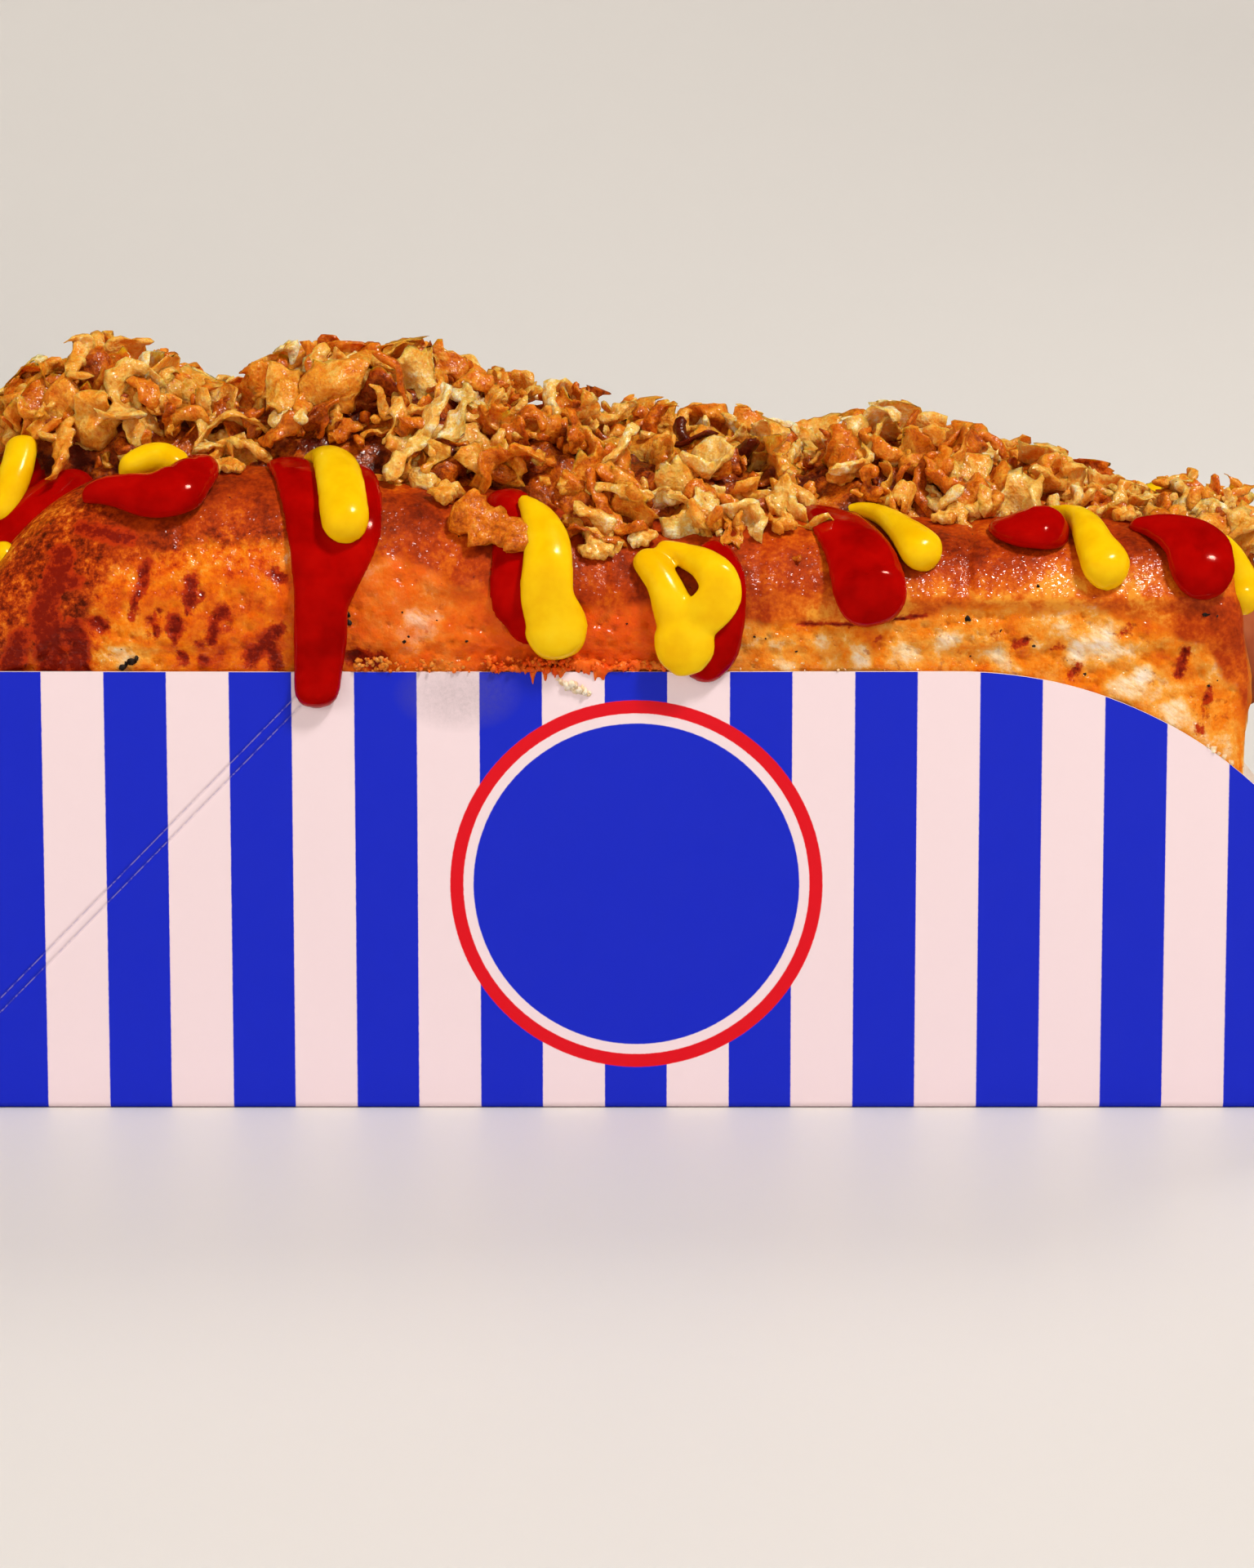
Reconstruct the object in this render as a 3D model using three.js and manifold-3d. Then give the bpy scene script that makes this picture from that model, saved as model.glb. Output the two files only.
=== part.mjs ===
// A loaded hot dog in its paper case: a split-top roll with flat griddled sides, a sausage in
// the split, ketchup and mustard run in zigzags over both halves, and fried onions heaped on top.
// The case is one folded board: a floor, two long walls and one end wall. Its other end is open,
// and the long walls come down to the floor there in a quarter circle.
// +X runs along the hot dog to the open end, -Y faces the front wall, and +Z is up.
// The origin is the middle of the case's underside.
import * as THREE from "three";
import { mergeVertices } from "three/addons/utils/BufferGeometryUtils.js";
import Module from "manifold-3d";

const wasm = await Module();
wasm.setup();

// ---- Driving sizes, in millimetres ----
const CLEARANCE = 0.35;
const SLIVER = { roll: 0.12, onions: 0.35, cut: 0.05 };
const CASE = { length: 170, width: 52, height: 50, board: 0.5, fold: 0.8 };
const ROLL = {
  left: -78,
  right: 68,
  bottom: CASE.board + CLEARANCE,
  halfWidth: CASE.width / 2 - CASE.board - CLEARANCE,
  cornerRadius: 6,
  bulge: 1.3, // how far the bread swells out above the case
  bulgeHeight: 55,
  crestY: 13.5, // how far out the crest of each half runs
  ends: { left: { round: 22, least: 0.3 }, right: { round: 7, least: 0.62 } },
  endCrest: 38, // the height that the crest comes down towards at the ends
  endWidth: 0.72,
  endLift: 9,
  uneven: 0.6,
};
// Height of the roll's crest along its length, as [x, z].
const CREST = [[-78, 70], [-62, 71.5], [-42, 71.5], [-20, 69.5], [5, 67], [38, 66], [68, 65]];
const SAUSAGE = { radius: 11.8, height: 52.5, left: -80, right: 77, droop: 1.5, sides: 16 };
const SPLIT = { radius: SAUSAGE.radius + 2 * CLEARANCE, mouth: 9.5, flare: 5 };
// Top of the onion heap's core along its length, as [x, z], and its reach to the front and back.
const HEAP_TOP = [[-79, 66], [-70, 75], [-58, 78], [-38, 80], [-24, 79.5], [-8, 75.5], [10, 72.5],
  [19, 70], [29, 72.5], [40, 71], [52, 66.5], [64, 64]];
const HEAP_FRONT = [[-79, 10], [-60, 14], [-30, 17], [-8, 21], [12, 20], [30, 17], [48, 15], [64, 8]];
const HEAP_BACK = [[-79, 11], [-55, 17], [-25, 19], [0, 17], [25, 19], [45, 18], [64, 17]];
const HEAP = { left: -79, right: 64, floor: 60, rings: 24, uneven: 0.06 };
const FLAKE = { length: [8, 15], width: [4.4, 7.6], thick: 2.3, count: 84, seed: 20 };

// ---- Small tools ----
// Numbers from 0 to 1 that are the same on every run.
function seededRandom(seed) {
  let state = seed;
  return () => {
    state = (state * 1664525 + 1013904223) % 4294967296;
    return state / 4294967296;
  };
}

// Smooth value at x of a list of [x, value].
function along(list, x) {
  const last = list.length - 1;
  if (x <= list[0][0]) return list[0][1];
  if (x >= list[last][0]) return list[last][1];
  const i = list.findIndex(([at]) => at > x) - 1;
  const share = (x - list[i][0]) / (list[i + 1][0] - list[i][0]);
  const eased = share * share * (3 - 2 * share);
  return list[i][1] + (list[i + 1][1] - list[i][1]) * eased;
}

// A few slow waves that make bread uneven, from -1 to 1.
function waves(x, v) {
  return (
    0.5 * Math.sin(0.11 * x + 0.7 * v) +
    0.3 * Math.sin(0.23 * x - 1.9 * v + 1.3) +
    0.2 * Math.sin(0.41 * x + 3.1 * v + 0.4)
  );
}

// A closed geometry as a solid that can be joined and cut.
function solid(geometry) {
  const bare = geometry.clone();
  bare.deleteAttribute("normal");
  bare.deleteAttribute("uv");
  const merged = mergeVertices(bare, 1e-4);
  return new wasm.Manifold(
    new wasm.Mesh({
      numProp: 3,
      vertProperties: merged.attributes.position.array,
      triVerts: new Uint32Array(merged.index.array),
    }),
  );
}

// A closed skin through rings of the same count, each end closed by a fan round its tip.
function loft(rings, firstTip, lastTip) {
  const count = rings[0].length;
  const points = [...rings.flat(), firstTip, lastTip];
  const first = rings.length * count;
  const index = [];
  for (let ring = 0; ring < rings.length - 1; ring += 1) {
    for (let side = 0; side < count; side += 1) {
      const a = ring * count + side;
      const b = ring * count + ((side + 1) % count);
      index.push(a, b, a + count, b, b + count, a + count);
    }
  }
  for (let side = 0; side < count; side += 1) {
    const next = (side + 1) % count;
    const top = (rings.length - 1) * count;
    index.push(first, next, side, first + 1, top + side, top + next);
  }
  const geometry = new THREE.BufferGeometry().setFromPoints(points);
  geometry.setIndex(index);
  return geometry;
}

function middle(ring) {
  return ring.reduce((sum, p) => sum.add(p), new THREE.Vector3()).divideScalar(ring.length);
}

function loftFlat(rings) {
  return loft(rings, middle(rings[0]), middle(rings[rings.length - 1]));
}

// A shape drawn in (Y, Z) run along X from start to end.
function runAlongX(shape, start, end) {
  const geometry = new THREE.ExtrudeGeometry(shape, {
    depth: end - start,
    bevelEnabled: false,
    curveSegments: 6,
  });
  geometry.applyMatrix4(
    new THREE.Matrix4().makeBasis(
      new THREE.Vector3(0, 1, 0),
      new THREE.Vector3(0, 0, 1),
      new THREE.Vector3(1, 0, 0),
    ),
  );
  geometry.translate(start, 0, 0);
  return geometry;
}

function joined(solids) {
  return solids.reduce((whole, next) => whole.add(next));
}

// The largest body of a cut solid, without the scraps and the slivers that the cut leaves.
function largestBody(whole) {
  const bodies = whole.simplify(SLIVER.cut).decompose();
  return bodies.reduce((best, body) => (body.volume() > best.volume() ? body : best));
}

function meshOf(whole, name, colour, roughness) {
  const data = whole.getMesh();
  const geometry = new THREE.BufferGeometry();
  geometry.setAttribute("position", new THREE.BufferAttribute(data.vertProperties, 3));
  geometry.setIndex(new THREE.BufferAttribute(data.triVerts, 1));
  geometry.computeVertexNormals();
  const material = new THREE.MeshStandardMaterial({ color: colour, roughness, metalness: 0 });
  const mesh = new THREE.Mesh(geometry, material);
  mesh.name = name;
  return mesh;
}

// ---- The paper case ----
// The outline of the long walls and floor in (Y, Z), with rounded folds, taken in by an inset.
function troughOutline(inset, path) {
  const side = CASE.width / 2 - inset;
  const round = CASE.fold - inset;
  path.moveTo(-side, CASE.height);
  path.lineTo(-side, inset + round);
  path.absarc(-side + round, inset + round, round, Math.PI, 1.5 * Math.PI, false);
  path.lineTo(side - round, inset);
  path.absarc(side - round, inset + round, round, -0.5 * Math.PI, 0, false);
  path.lineTo(side, CASE.height);
  return path;
}

function makeCase() {
  const left = -CASE.length / 2;
  const right = CASE.length / 2;
  const outer = solid(runAlongX(troughOutline(0, new THREE.Shape()), left, right));
  const room = troughOutline(CASE.board, new THREE.Shape());
  room.lineTo(CASE.width / 2 - CASE.board, CASE.height + 5);
  room.lineTo(-CASE.width / 2 + CASE.board, CASE.height + 5);
  const hollow = solid(runAlongX(room, left + CASE.board, right + 5));
  // What is cut away above the quarter circle at the open end.
  const above = new THREE.Shape();
  above.moveTo(right - CASE.height, CASE.height);
  above.absarc(right - CASE.height, 0, CASE.height, Math.PI / 2, 0, true);
  above.lineTo(right + 5, 0);
  above.lineTo(right + 5, CASE.height + 5);
  above.lineTo(right - CASE.height, CASE.height + 5);
  const cutter = new THREE.ExtrudeGeometry(above, {
    depth: CASE.width + 10,
    bevelEnabled: false,
    curveSegments: 28,
  });
  cutter.rotateX(Math.PI / 2);
  cutter.translate(0, CASE.width / 2 + 5, 0);
  return outer.subtract(hollow).subtract(solid(cutter));
}

// ---- The roll ----
// How full an end of the loaf is at a distance inward from its tip, from its least share to 1.
function endFullness(inward, { round, least }) {
  if (inward >= round) return 1;
  const bow = Math.sqrt(1 - (1 - inward / round) ** 2);
  return least + (1 - least) * bow;
}

function fullness(x) {
  const { left, right } = ROLL.ends;
  return endFullness(x - ROLL.left, left) * endFullness(ROLL.right - x, right);
}

function crestHeight(x) {
  return ROLL.endCrest + (along(CREST, x) - ROLL.endCrest) * fullness(x);
}

function taperAt(x) {
  return ROLL.endWidth + (1 - ROLL.endWidth) * fullness(x);
}

// Half width of the roll at height z on its outer face, above the case.
function reachAt(x, z) {
  const taper = taperAt(x);
  const swell = Math.min(1, Math.max(0, (z - CASE.height + 1) / 5));
  const side = ROLL.halfWidth + ROLL.bulge * swell * swell * (3 - 2 * swell);
  const crest = crestHeight(x);
  const shoulder = Math.min(ROLL.bulgeHeight, crest - 6);
  if (z <= shoulder) return side * taper;
  const rise = Math.min(1, (z - shoulder) / (crest - shoulder));
  return (ROLL.crestY + (side - ROLL.crestY) * Math.sqrt(1 - rise * rise)) * taper;
}

// One upright ring of the loaf at x, grown outwards by grow.
function loafRing(x, grow) {
  const crest = crestHeight(x);
  const bottom = ROLL.bottom + ROLL.endLift * (1 - fullness(x));
  const rim = Math.min(CASE.height, crest - 9);
  const half = (sign) => {
    const side = ROLL.halfWidth * taperAt(x);
    const points = [
      [side - ROLL.cornerRadius, bottom],
      [side - 0.3 * ROLL.cornerRadius, bottom + 0.3 * ROLL.cornerRadius],
      [side, bottom + ROLL.cornerRadius],
      [side, Math.min(30, crest - 14)],
      [reachAt(x, rim), rim],
    ];
    const shoulder = Math.min(ROLL.bulgeHeight, crest - 6);
    for (let step = 0; step <= 5; step += 1) {
      const z = shoulder + (crest - shoulder) * Math.sin((step / 5) * (Math.PI / 2));
      const uneven = step > 0 ? ROLL.uneven * waves(x, sign * 2 + step * 0.6) : 0;
      points.push([reachAt(x, z - 1e-6) + uneven, z + uneven * (step / 5)]);
    }
    return points;
  };
  const right = half(1);
  const left = half(-1).reverse().map(([y, z]) => [-y, z]);
  const centre = (crest + bottom) / 2;
  return [...right, ...left].map(
    ([y, z]) =>
      new THREE.Vector3(x, y + grow * Math.sign(y), z + grow * Math.sign(z - centre)),
  );
}

// Places of the rings, close together where the ends are round.
function loafStations() {
  const stations = [];
  for (const share of [0, 0.06, 0.16, 0.32, 0.52, 0.75]) {
    stations.push(ROLL.left + share * ROLL.ends.left.round);
  }
  const first = ROLL.left + ROLL.ends.left.round;
  const last = ROLL.right - ROLL.ends.right.round;
  for (let step = 0; step <= 20; step += 1) stations.push(first + ((last - first) * step) / 20);
  for (const share of [0.6, 0.32, 0.12, 0]) {
    stations.push(ROLL.right - share * ROLL.ends.right.round);
  }
  return stations;
}

// The channel of the split: round under the sausage, narrower at the mouth, flared at the top.
function splitRing(x, shrink) {
  const crest = crestHeight(x);
  const axis = sausageAxis(x);
  const radius = SPLIT.radius - shrink;
  const half = [];
  for (let step = 0; step <= 4; step += 1) {
    const angle = (step / 4) * (Math.PI / 2);
    half.push([radius * Math.sin(angle), axis - radius * Math.cos(angle)]);
  }
  const mouth = SPLIT.mouth - shrink;
  half.push([mouth + 1, Math.max(axis + 8, crest - 5)]);
  half.push([mouth + 1.6, Math.max(axis + 9, crest - 2)]);
  half.push([mouth + SPLIT.flare, Math.max(axis + 10, crest + 0.5)]);
  half.push([mouth + SPLIT.flare, crest + 12]);
  const back = half.slice(1).reverse().map(([y, z]) => [-y, z]);
  return [...half, ...back].map(([y, z]) => new THREE.Vector3(x, y, z));
}

// ---- The sausage ----
function sausageAxis(x) {
  const span = (SAUSAGE.right - SAUSAGE.left) / 2;
  const offset = (x - (SAUSAGE.left + SAUSAGE.right) / 2) / span;
  return SAUSAGE.height - SAUSAGE.droop * offset * offset;
}

function makeSausage(grow) {
  const radius = SAUSAGE.radius + grow;
  const left = SAUSAGE.left - grow;
  const right = SAUSAGE.right + grow;
  const places = [];
  for (const share of [0.05, 0.18, 0.42, 0.72]) {
    places.push([left + share * radius, Math.sqrt(1 - (1 - share) ** 2)]);
  }
  for (let step = 0; step <= 8; step += 1) {
    places.push([left + radius + ((right - left - 2 * radius) * step) / 8, 1]);
  }
  for (const share of [0.72, 0.42, 0.18, 0.05]) {
    places.push([right - share * radius, Math.sqrt(1 - (1 - share) ** 2)]);
  }
  const rings = places.map(([x, share]) => {
    const ring = [];
    for (let side = 0; side < SAUSAGE.sides; side += 1) {
      const angle = (side / SAUSAGE.sides) * 2 * Math.PI;
      const y = radius * share * Math.cos(angle);
      const z = sausageAxis(x) + radius * share * Math.sin(angle);
      ring.push(new THREE.Vector3(x, y, z));
    }
    return ring;
  });
  const tips = [left, right].map((x) => new THREE.Vector3(x, 0, sausageAxis(x)));
  return solid(loft(rings, tips[0], tips[1]));
}

// ---- Sauce ----
// Each line of sauce turns back on itself over a half of the roll. What shows of a turn is a bead
// from the crest down the outer face. A bead's points are [x, z, half width], top first.
const MUSTARD_FRONT = [
  [[-72, 73.4, 2.6], [-74.5, 68, 2.8], [-76.5, 64, 2.4]],
  [[-40.5, 72.5, 2.6], [-36.5, 69.5, 3], [-34.6, 66.5, 3.1]],
  [[-14.5, 68.5, 2.2], [-11, 64.5, 2.9], [-10.2, 59, 3.7], [-10, 55.8, 3.8]],
  [[0.2, 66, 1.9], [2.6, 61.5, 2.2], [4.2, 57, 3], [4.6, 53.5, 3.6]],
  [[6.4, 66.5, 2], [10, 62, 2.6], [8.8, 59, 2.9], [5.6, 56.2, 2.6]],
  [[22, 67.5, 1.5], [27, 66, 1.9], [31, 63.8, 2.5]],
  [[46.5, 67, 1.7], [50.5, 63.6, 2.2], [52.6, 60.4, 2.8]],
  [[64, 64.5, 1.8], [66.3, 60, 2.4], [66.6, 58.5, 2.6]],
];
const KETCHUP_FRONT = [
  [[-52, 72.2, 3], [-56, 69.2, 3.2], [-61.5, 68.6, 2.8]],
  [[-43.5, 72, 3.6], [-38.5, 69, 5.4], [-37.6, 62, 5.2], [-38, 57, 3.4], [-38, 51.5, 2.8],
    [-38, 49.6, 2.7]],
  [[-18.5, 68.5, 3.2], [-15.5, 62.5, 4.4], [-13.5, 57.5, 3.2]],
  [[7, 66, 3], [9.6, 58, 3.4], [7.6, 53.2, 3.4]],
  [[21, 68, 3.2], [24.5, 62, 4.2], [26.6, 57.2, 4.6]],
  [[40.5, 67, 2.4], [43.5, 65, 3.2], [44.4, 63.6, 3]],
  [[57.5, 65.5, 1.8], [61.5, 62.8, 3.2], [63, 60.4, 3.6]],
];
const MUSTARD_BACK = [
  [[-58, 72, 2.4], [-55, 66, 3], [-54, 61, 3.4]],
  [[-28, 71, 2.3], [-25, 65, 2.9], [-24, 59, 3.5]],
  [[-2, 67.5, 2.2], [1.5, 63, 2.8], [2.2, 60, 3.2]],
  [[15, 66.5, 2.2], [19, 61, 2.9], [20, 56.5, 3.4]],
  [[38, 66.5, 2.1], [41, 62.5, 2.7], [42, 59.5, 3.1]],
];
const KETCHUP_BACK = [
  [[-64, 71, 2.8], [-63, 66, 3.8], [-62, 62, 3.6]],
  [[-35, 71.5, 3], [-33, 65, 4], [-31.5, 57, 3.7]],
  [[-9, 68, 3], [-7, 62, 4.2], [-6, 57.5, 4]],
  [[10, 67, 2.8], [12, 62, 3.8], [13, 59.5, 3.7]],
  [[29, 66.5, 3], [31, 61, 4], [32.5, 56.5, 3.8]],
  [[52, 65.5, 2.6], [54.5, 61.5, 3.6], [55.5, 58.5, 3.4]],
];
const BEAD = { height: 0.55, sink: 0.25, sides: 6 };
// Flakes that have come to rest on the sauce and the front of the roll, as [x, z, turn, scale].
const LOOSE_FLAKES = [[-18.5, 65.6, 0.25, 0.95], [-6.2, 62.6, 1.3, 0.5], [-0.6, 61.2, 2.4, 0.42]];

// A point on the outer face at (x, z), and the way out of it. Below the case's rim sauce hangs
// in front of the board.
function facePoint(x, z, side) {
  const top = Math.min(z, crestHeight(x) - 0.2);
  const rim = CASE.height + 1.5;
  const reach = z < rim ? CASE.width / 2 + CLEARANCE + 0.6 : reachAt(x, top);
  const slope = reachAt(x, Math.max(top, rim) - 0.5) - reachAt(x, Math.max(top, rim) + 0.5);
  const out = new THREE.Vector3(0, side, Math.min(3, Math.max(0, slope))).normalize();
  return { point: new THREE.Vector3(x, side * reach, top), out };
}

function makeBead(middles, side, grow) {
  // The last of the places is the middle of the round end, so the tip is half a width further on.
  const [before, end] = middles.slice(-2);
  const way = new THREE.Vector2(end[0] - before[0], end[1] - before[1]).setLength(end[2]);
  const places = [...middles, [end[0] + way.x, end[1] + way.y, end[2]]];
  const spots = places.map(([x, z]) => facePoint(x, z, side));
  const curve = new THREE.CatmullRomCurve3(spots.map((spot) => spot.point));
  const length = curve.getLength();
  const valueAt = (share, pick) => {
    const at = share * (places.length - 1);
    const i = Math.min(places.length - 2, Math.floor(at));
    return pick(i) + (pick(i + 1) - pick(i)) * (at - i);
  };
  const tipWidth = places[places.length - 1][2];
  const overrun = Math.min(0.3, (0.9 * tipWidth) / length);
  const steps = [[0.02, 0.7]];
  for (let step = 1; step <= 4; step += 1) steps.push([0.02 + (step / 4) * (0.98 - overrun), 1]);
  steps.push([1 - 0.45 * overrun, 0.84], [1 - 0.1 * overrun, 0.45]);
  const rings = steps.map(([share, full]) => {
    const centre = curve.getPoint(share);
    const ahead = curve.getTangent(share);
    const out = new THREE.Vector3(
      0,
      valueAt(share, (i) => spots[i].out.y),
      valueAt(share, (i) => spots[i].out.z),
    );
    out.addScaledVector(ahead, -out.dot(ahead)).normalize();
    const across = new THREE.Vector3().crossVectors(out, ahead).normalize();
    const half = valueAt(share, (i) => places[i][2]) * full + grow;
    const deep = half * BEAD.height + grow * (1 - BEAD.height);
    centre.addScaledVector(out, -deep * BEAD.sink);
    const ring = [];
    for (let number = 0; number < BEAD.sides; number += 1) {
      const angle = (number / BEAD.sides) * 2 * Math.PI;
      const rise = Math.sin(angle);
      const point = centre.clone().addScaledVector(across, half * Math.cos(angle));
      ring.push(point.addScaledVector(out, deep * rise));
    }
    return ring;
  });
  const lastRing = rings[rings.length - 1];
  const tip = middle(lastRing).addScaledVector(curve.getTangent(1), 0.12 * tipWidth + grow);
  return solid(loft(rings, middle(rings[0]), tip));
}

function makeSauces(grow) {
  const front = [...MUSTARD_FRONT, ...KETCHUP_FRONT].map((bead) => makeBead(bead, -1, grow));
  const back = [...MUSTARD_BACK, ...KETCHUP_BACK].map((bead) => makeBead(bead, 1, grow));
  return joined([...front, ...back]);
}

function makeRoll(grow) {
  const loaf = solid(loftFlat(loafStations().map((x) => loafRing(x, grow))));
  const places = [ROLL.left - 5, ROLL.left + 8, -50, -25, 0, 25, 50, ROLL.right + 5];
  const split = solid(loftFlat(places.map((x) => splitRing(x, grow))));
  return loaf.subtract(split);
}

// ---- Fried onions ----
function heapReach(x, side) {
  return side > 0 ? along(HEAP_BACK, x) : along(HEAP_FRONT, x);
}

function heapRing(x) {
  const top = along(HEAP_TOP, x);
  const ring = [];
  const arc = 9;
  for (let step = 0; step <= arc; step += 1) {
    const angle = (step / arc) * Math.PI;
    const side = Math.cos(angle);
    const bump = 1 + HEAP.uneven * waves(3 * x, step);
    const y = heapReach(x, side) * Math.sign(side) * Math.abs(side) ** 0.8;
    const z = HEAP.floor + (top - HEAP.floor) * bump * Math.sin(angle) ** 0.8;
    ring.push(new THREE.Vector3(x, y, z));
  }
  return ring;
}

// One flake: a short strip of onion, bent along its length and uneven in width.
function makeFlake(random) {
  const length = FLAKE.length[0] + (FLAKE.length[1] - FLAKE.length[0]) * random();
  const width = FLAKE.width[0] + (FLAKE.width[1] - FLAKE.width[0]) * random();
  const bend = (random() - 0.5) * 0.16;
  const twist = (random() - 0.5) * 1.2;
  const rings = [-0.5, -0.2, 0.18, 0.5].map((share) => {
    const half = (width / 2) * (1 - 1.4 * share * share) * (0.8 + 0.4 * random());
    const thick = (FLAKE.thick / 2) * (0.8 + 0.4 * random());
    const turn = twist * share;
    const x = share * length;
    const z = bend * x * x;
    return [[1, 0.3], [-0.2, 1], [-1, 0.1], [0.1, -1]].map(([y, up]) => {
      const across = y * half;
      const rise = up * thick;
      return new THREE.Vector3(
        x,
        across * Math.cos(turn) - rise * Math.sin(turn),
        z + across * Math.sin(turn) + rise * Math.cos(turn),
      );
    });
  });
  return loftFlat(rings);
}

// A flake laid on the heap at (x, angle round it), turned at random and tilted up a little.
function placeFlake(random, x, angle, lift) {
  const top = along(HEAP_TOP, x);
  const reach = heapReach(x, Math.cos(angle));
  const rise = (top - HEAP.floor) * Math.sin(angle);
  const at = new THREE.Vector3(x, reach * Math.cos(angle), HEAP.floor + rise);
  const out = new THREE.Vector3(0, Math.cos(angle) / reach, Math.sin(angle) / 14).normalize();
  at.addScaledVector(out, lift);
  const turn = new THREE.Quaternion().setFromUnitVectors(new THREE.Vector3(0, 0, 1), out);
  const spin = new THREE.Quaternion().setFromEuler(
    new THREE.Euler((random() - 0.5) * 1.1, (random() - 0.5) * 1.1, random() * 2 * Math.PI),
  );
  return new THREE.Matrix4().compose(at, turn.multiply(spin), new THREE.Vector3(1, 1, 1));
}

function makeLooseFlakes(grow) {
  const random = seededRandom(FLAKE.seed + 1);
  const flakes = LOOSE_FLAKES.map(([x, z, turn, scale]) => {
    const { point, out } = facePoint(x, z, -1);
    const lie = new THREE.Quaternion().setFromUnitVectors(new THREE.Vector3(0, 0, 1), out);
    const spin = new THREE.Quaternion().setFromAxisAngle(new THREE.Vector3(0, 0, 1), turn);
    const size = new THREE.Vector3(scale, scale, 1.3 * scale).addScalar(0.6 * grow);
    const flake = makeFlake(random);
    point.addScaledVector(out, 0.5);
    flake.applyMatrix4(new THREE.Matrix4().compose(point, lie.multiply(spin), size));
    return solid(flake);
  });
  return joined(flakes);
}

function makeOnions(roll, sausage) {
  const rings = [];
  for (let step = 0; step <= HEAP.rings; step += 1) {
    rings.push(heapRing(HEAP.left + ((HEAP.right - HEAP.left) * step) / HEAP.rings));
  }
  const random = seededRandom(FLAKE.seed);
  const pieces = [solid(loftFlat(rings))];
  for (let number = 0; number < FLAKE.count; number += 1) {
    // Steps that spread evenly along and round the heap, each shifted a little.
    const x = HEAP.left + 2 + (HEAP.right - HEAP.left - 4) * ((number * 0.754878) % 1);
    const angle = Math.PI * (0.08 + 0.84 * ((number * 0.569840 + 0.06 * random()) % 1));
    const flake = makeFlake(random);
    flake.applyMatrix4(placeFlake(random, x, angle, 0.4 + 1.6 * random()));
    pieces.push(solid(flake));
  }
  const heap = joined(pieces).simplify(SLIVER.onions);
  return largestBody(heap.subtract(roll).subtract(sausage));
}

// Room for the long walls and a little round them, so that a drip hangs clear of the board.
function wallRoom() {
  const height = CASE.height + CLEARANCE;
  const thick = CASE.board + 2 * CLEARANCE;
  const walls = [-1, 1].map((side) => {
    const box = new THREE.BoxGeometry(CASE.length, thick, height);
    box.translate(0, (side * (CASE.width - CASE.board)) / 2, height / 2);
    return solid(box);
  });
  return joined(walls);
}

// ---- The whole ----
const caseSolid = makeCase();
const filledRoll = joined([makeRoll(0), makeSauces(0), makeLooseFlakes(0)]).simplify(SLIVER.roll);
const freeRoll = filledRoll.subtract(makeSausage(CLEARANCE)).subtract(wallRoom());
const rollSolid = largestBody(freeRoll);
const sausageSolid = makeSausage(0);
const rollRoom = joined([makeRoll, makeSauces, makeLooseFlakes].map((make) => make(CLEARANCE)));
const onionSolid = makeOnions(rollRoom, makeSausage(CLEARANCE));

const hotDog = new THREE.Group();
hotDog.add(
  meshOf(caseSolid, "paper_case", 0xf3e6e6, 0.45),
  meshOf(rollSolid, "roll", 0xc07a2c, 0.5),
  meshOf(sausageSolid, "sausage", 0xa5482a, 0.35),
  meshOf(onionSolid, "fried_onions", 0xc98a3c, 0.55),
);

export default hotDog;
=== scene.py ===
# %% [markdown]
# # A loaded hot dog in its paper case
# The real thing is a soft roll with a split along its top, a sausage pushed into the split, two sauces
# run over it in zigzags and fried onions heaped on it. A folded paper case holds it all together.
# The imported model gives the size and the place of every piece. This lesson makes the looks around it:
# each piece is a mesh worked out from a few real sizes, with a material made of nodes.

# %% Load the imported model
import math

import bmesh
import bpy
import numpy as np
from mathutils import Matrix, Vector
from mathutils.bvhtree import BVHTree
from mathutils.geometry import delaunay_2d_cdt


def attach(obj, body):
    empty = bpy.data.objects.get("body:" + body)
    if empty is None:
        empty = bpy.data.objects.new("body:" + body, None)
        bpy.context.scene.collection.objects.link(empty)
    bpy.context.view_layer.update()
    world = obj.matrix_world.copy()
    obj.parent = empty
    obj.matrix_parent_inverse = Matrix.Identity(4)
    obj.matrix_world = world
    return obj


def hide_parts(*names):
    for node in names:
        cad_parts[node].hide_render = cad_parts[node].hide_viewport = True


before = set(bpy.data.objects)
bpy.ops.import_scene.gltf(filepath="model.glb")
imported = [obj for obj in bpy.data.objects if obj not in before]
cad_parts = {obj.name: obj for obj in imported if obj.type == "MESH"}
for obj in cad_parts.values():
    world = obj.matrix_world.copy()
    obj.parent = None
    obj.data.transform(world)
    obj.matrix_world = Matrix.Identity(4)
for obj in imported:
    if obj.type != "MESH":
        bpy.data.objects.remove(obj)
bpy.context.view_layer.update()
print("nodes:", sorted(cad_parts))

# %% [markdown]
# ## Camera, floor and light
# The camera stands low in front of the hot dog and looks 9 degrees down at it through a long lens, so
# the case keeps nearly parallel edges. Every size in this lesson is in millimetres and turns into
# Blender's metres at the end.
#
# The floor is the bottom of a wide, pale, matte bowl, so that every side is seen against the same soft
# background, as in a product studio. The key lamp, 25 cm across, hangs high in front on the right and
# gives the sauces and the egg wash their highlights. A low lamp on the left and one behind soften the
# shadows, and four more light only the bowl. What is glossy mirrors nothing but the key: a mirrored
# bowl, sky or second lamp would lay a milky veil over such deep reds and browns.

# %% Camera
MM = 0.001
VIEW = {"target": (-2.1, -26.0, 37.27), "distance": 570.0, "down": math.radians(9.0)}
FRAME_HEIGHT_PX = 1920
FOCAL_PX = 6210
SENSOR_MM = 36.0

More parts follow.
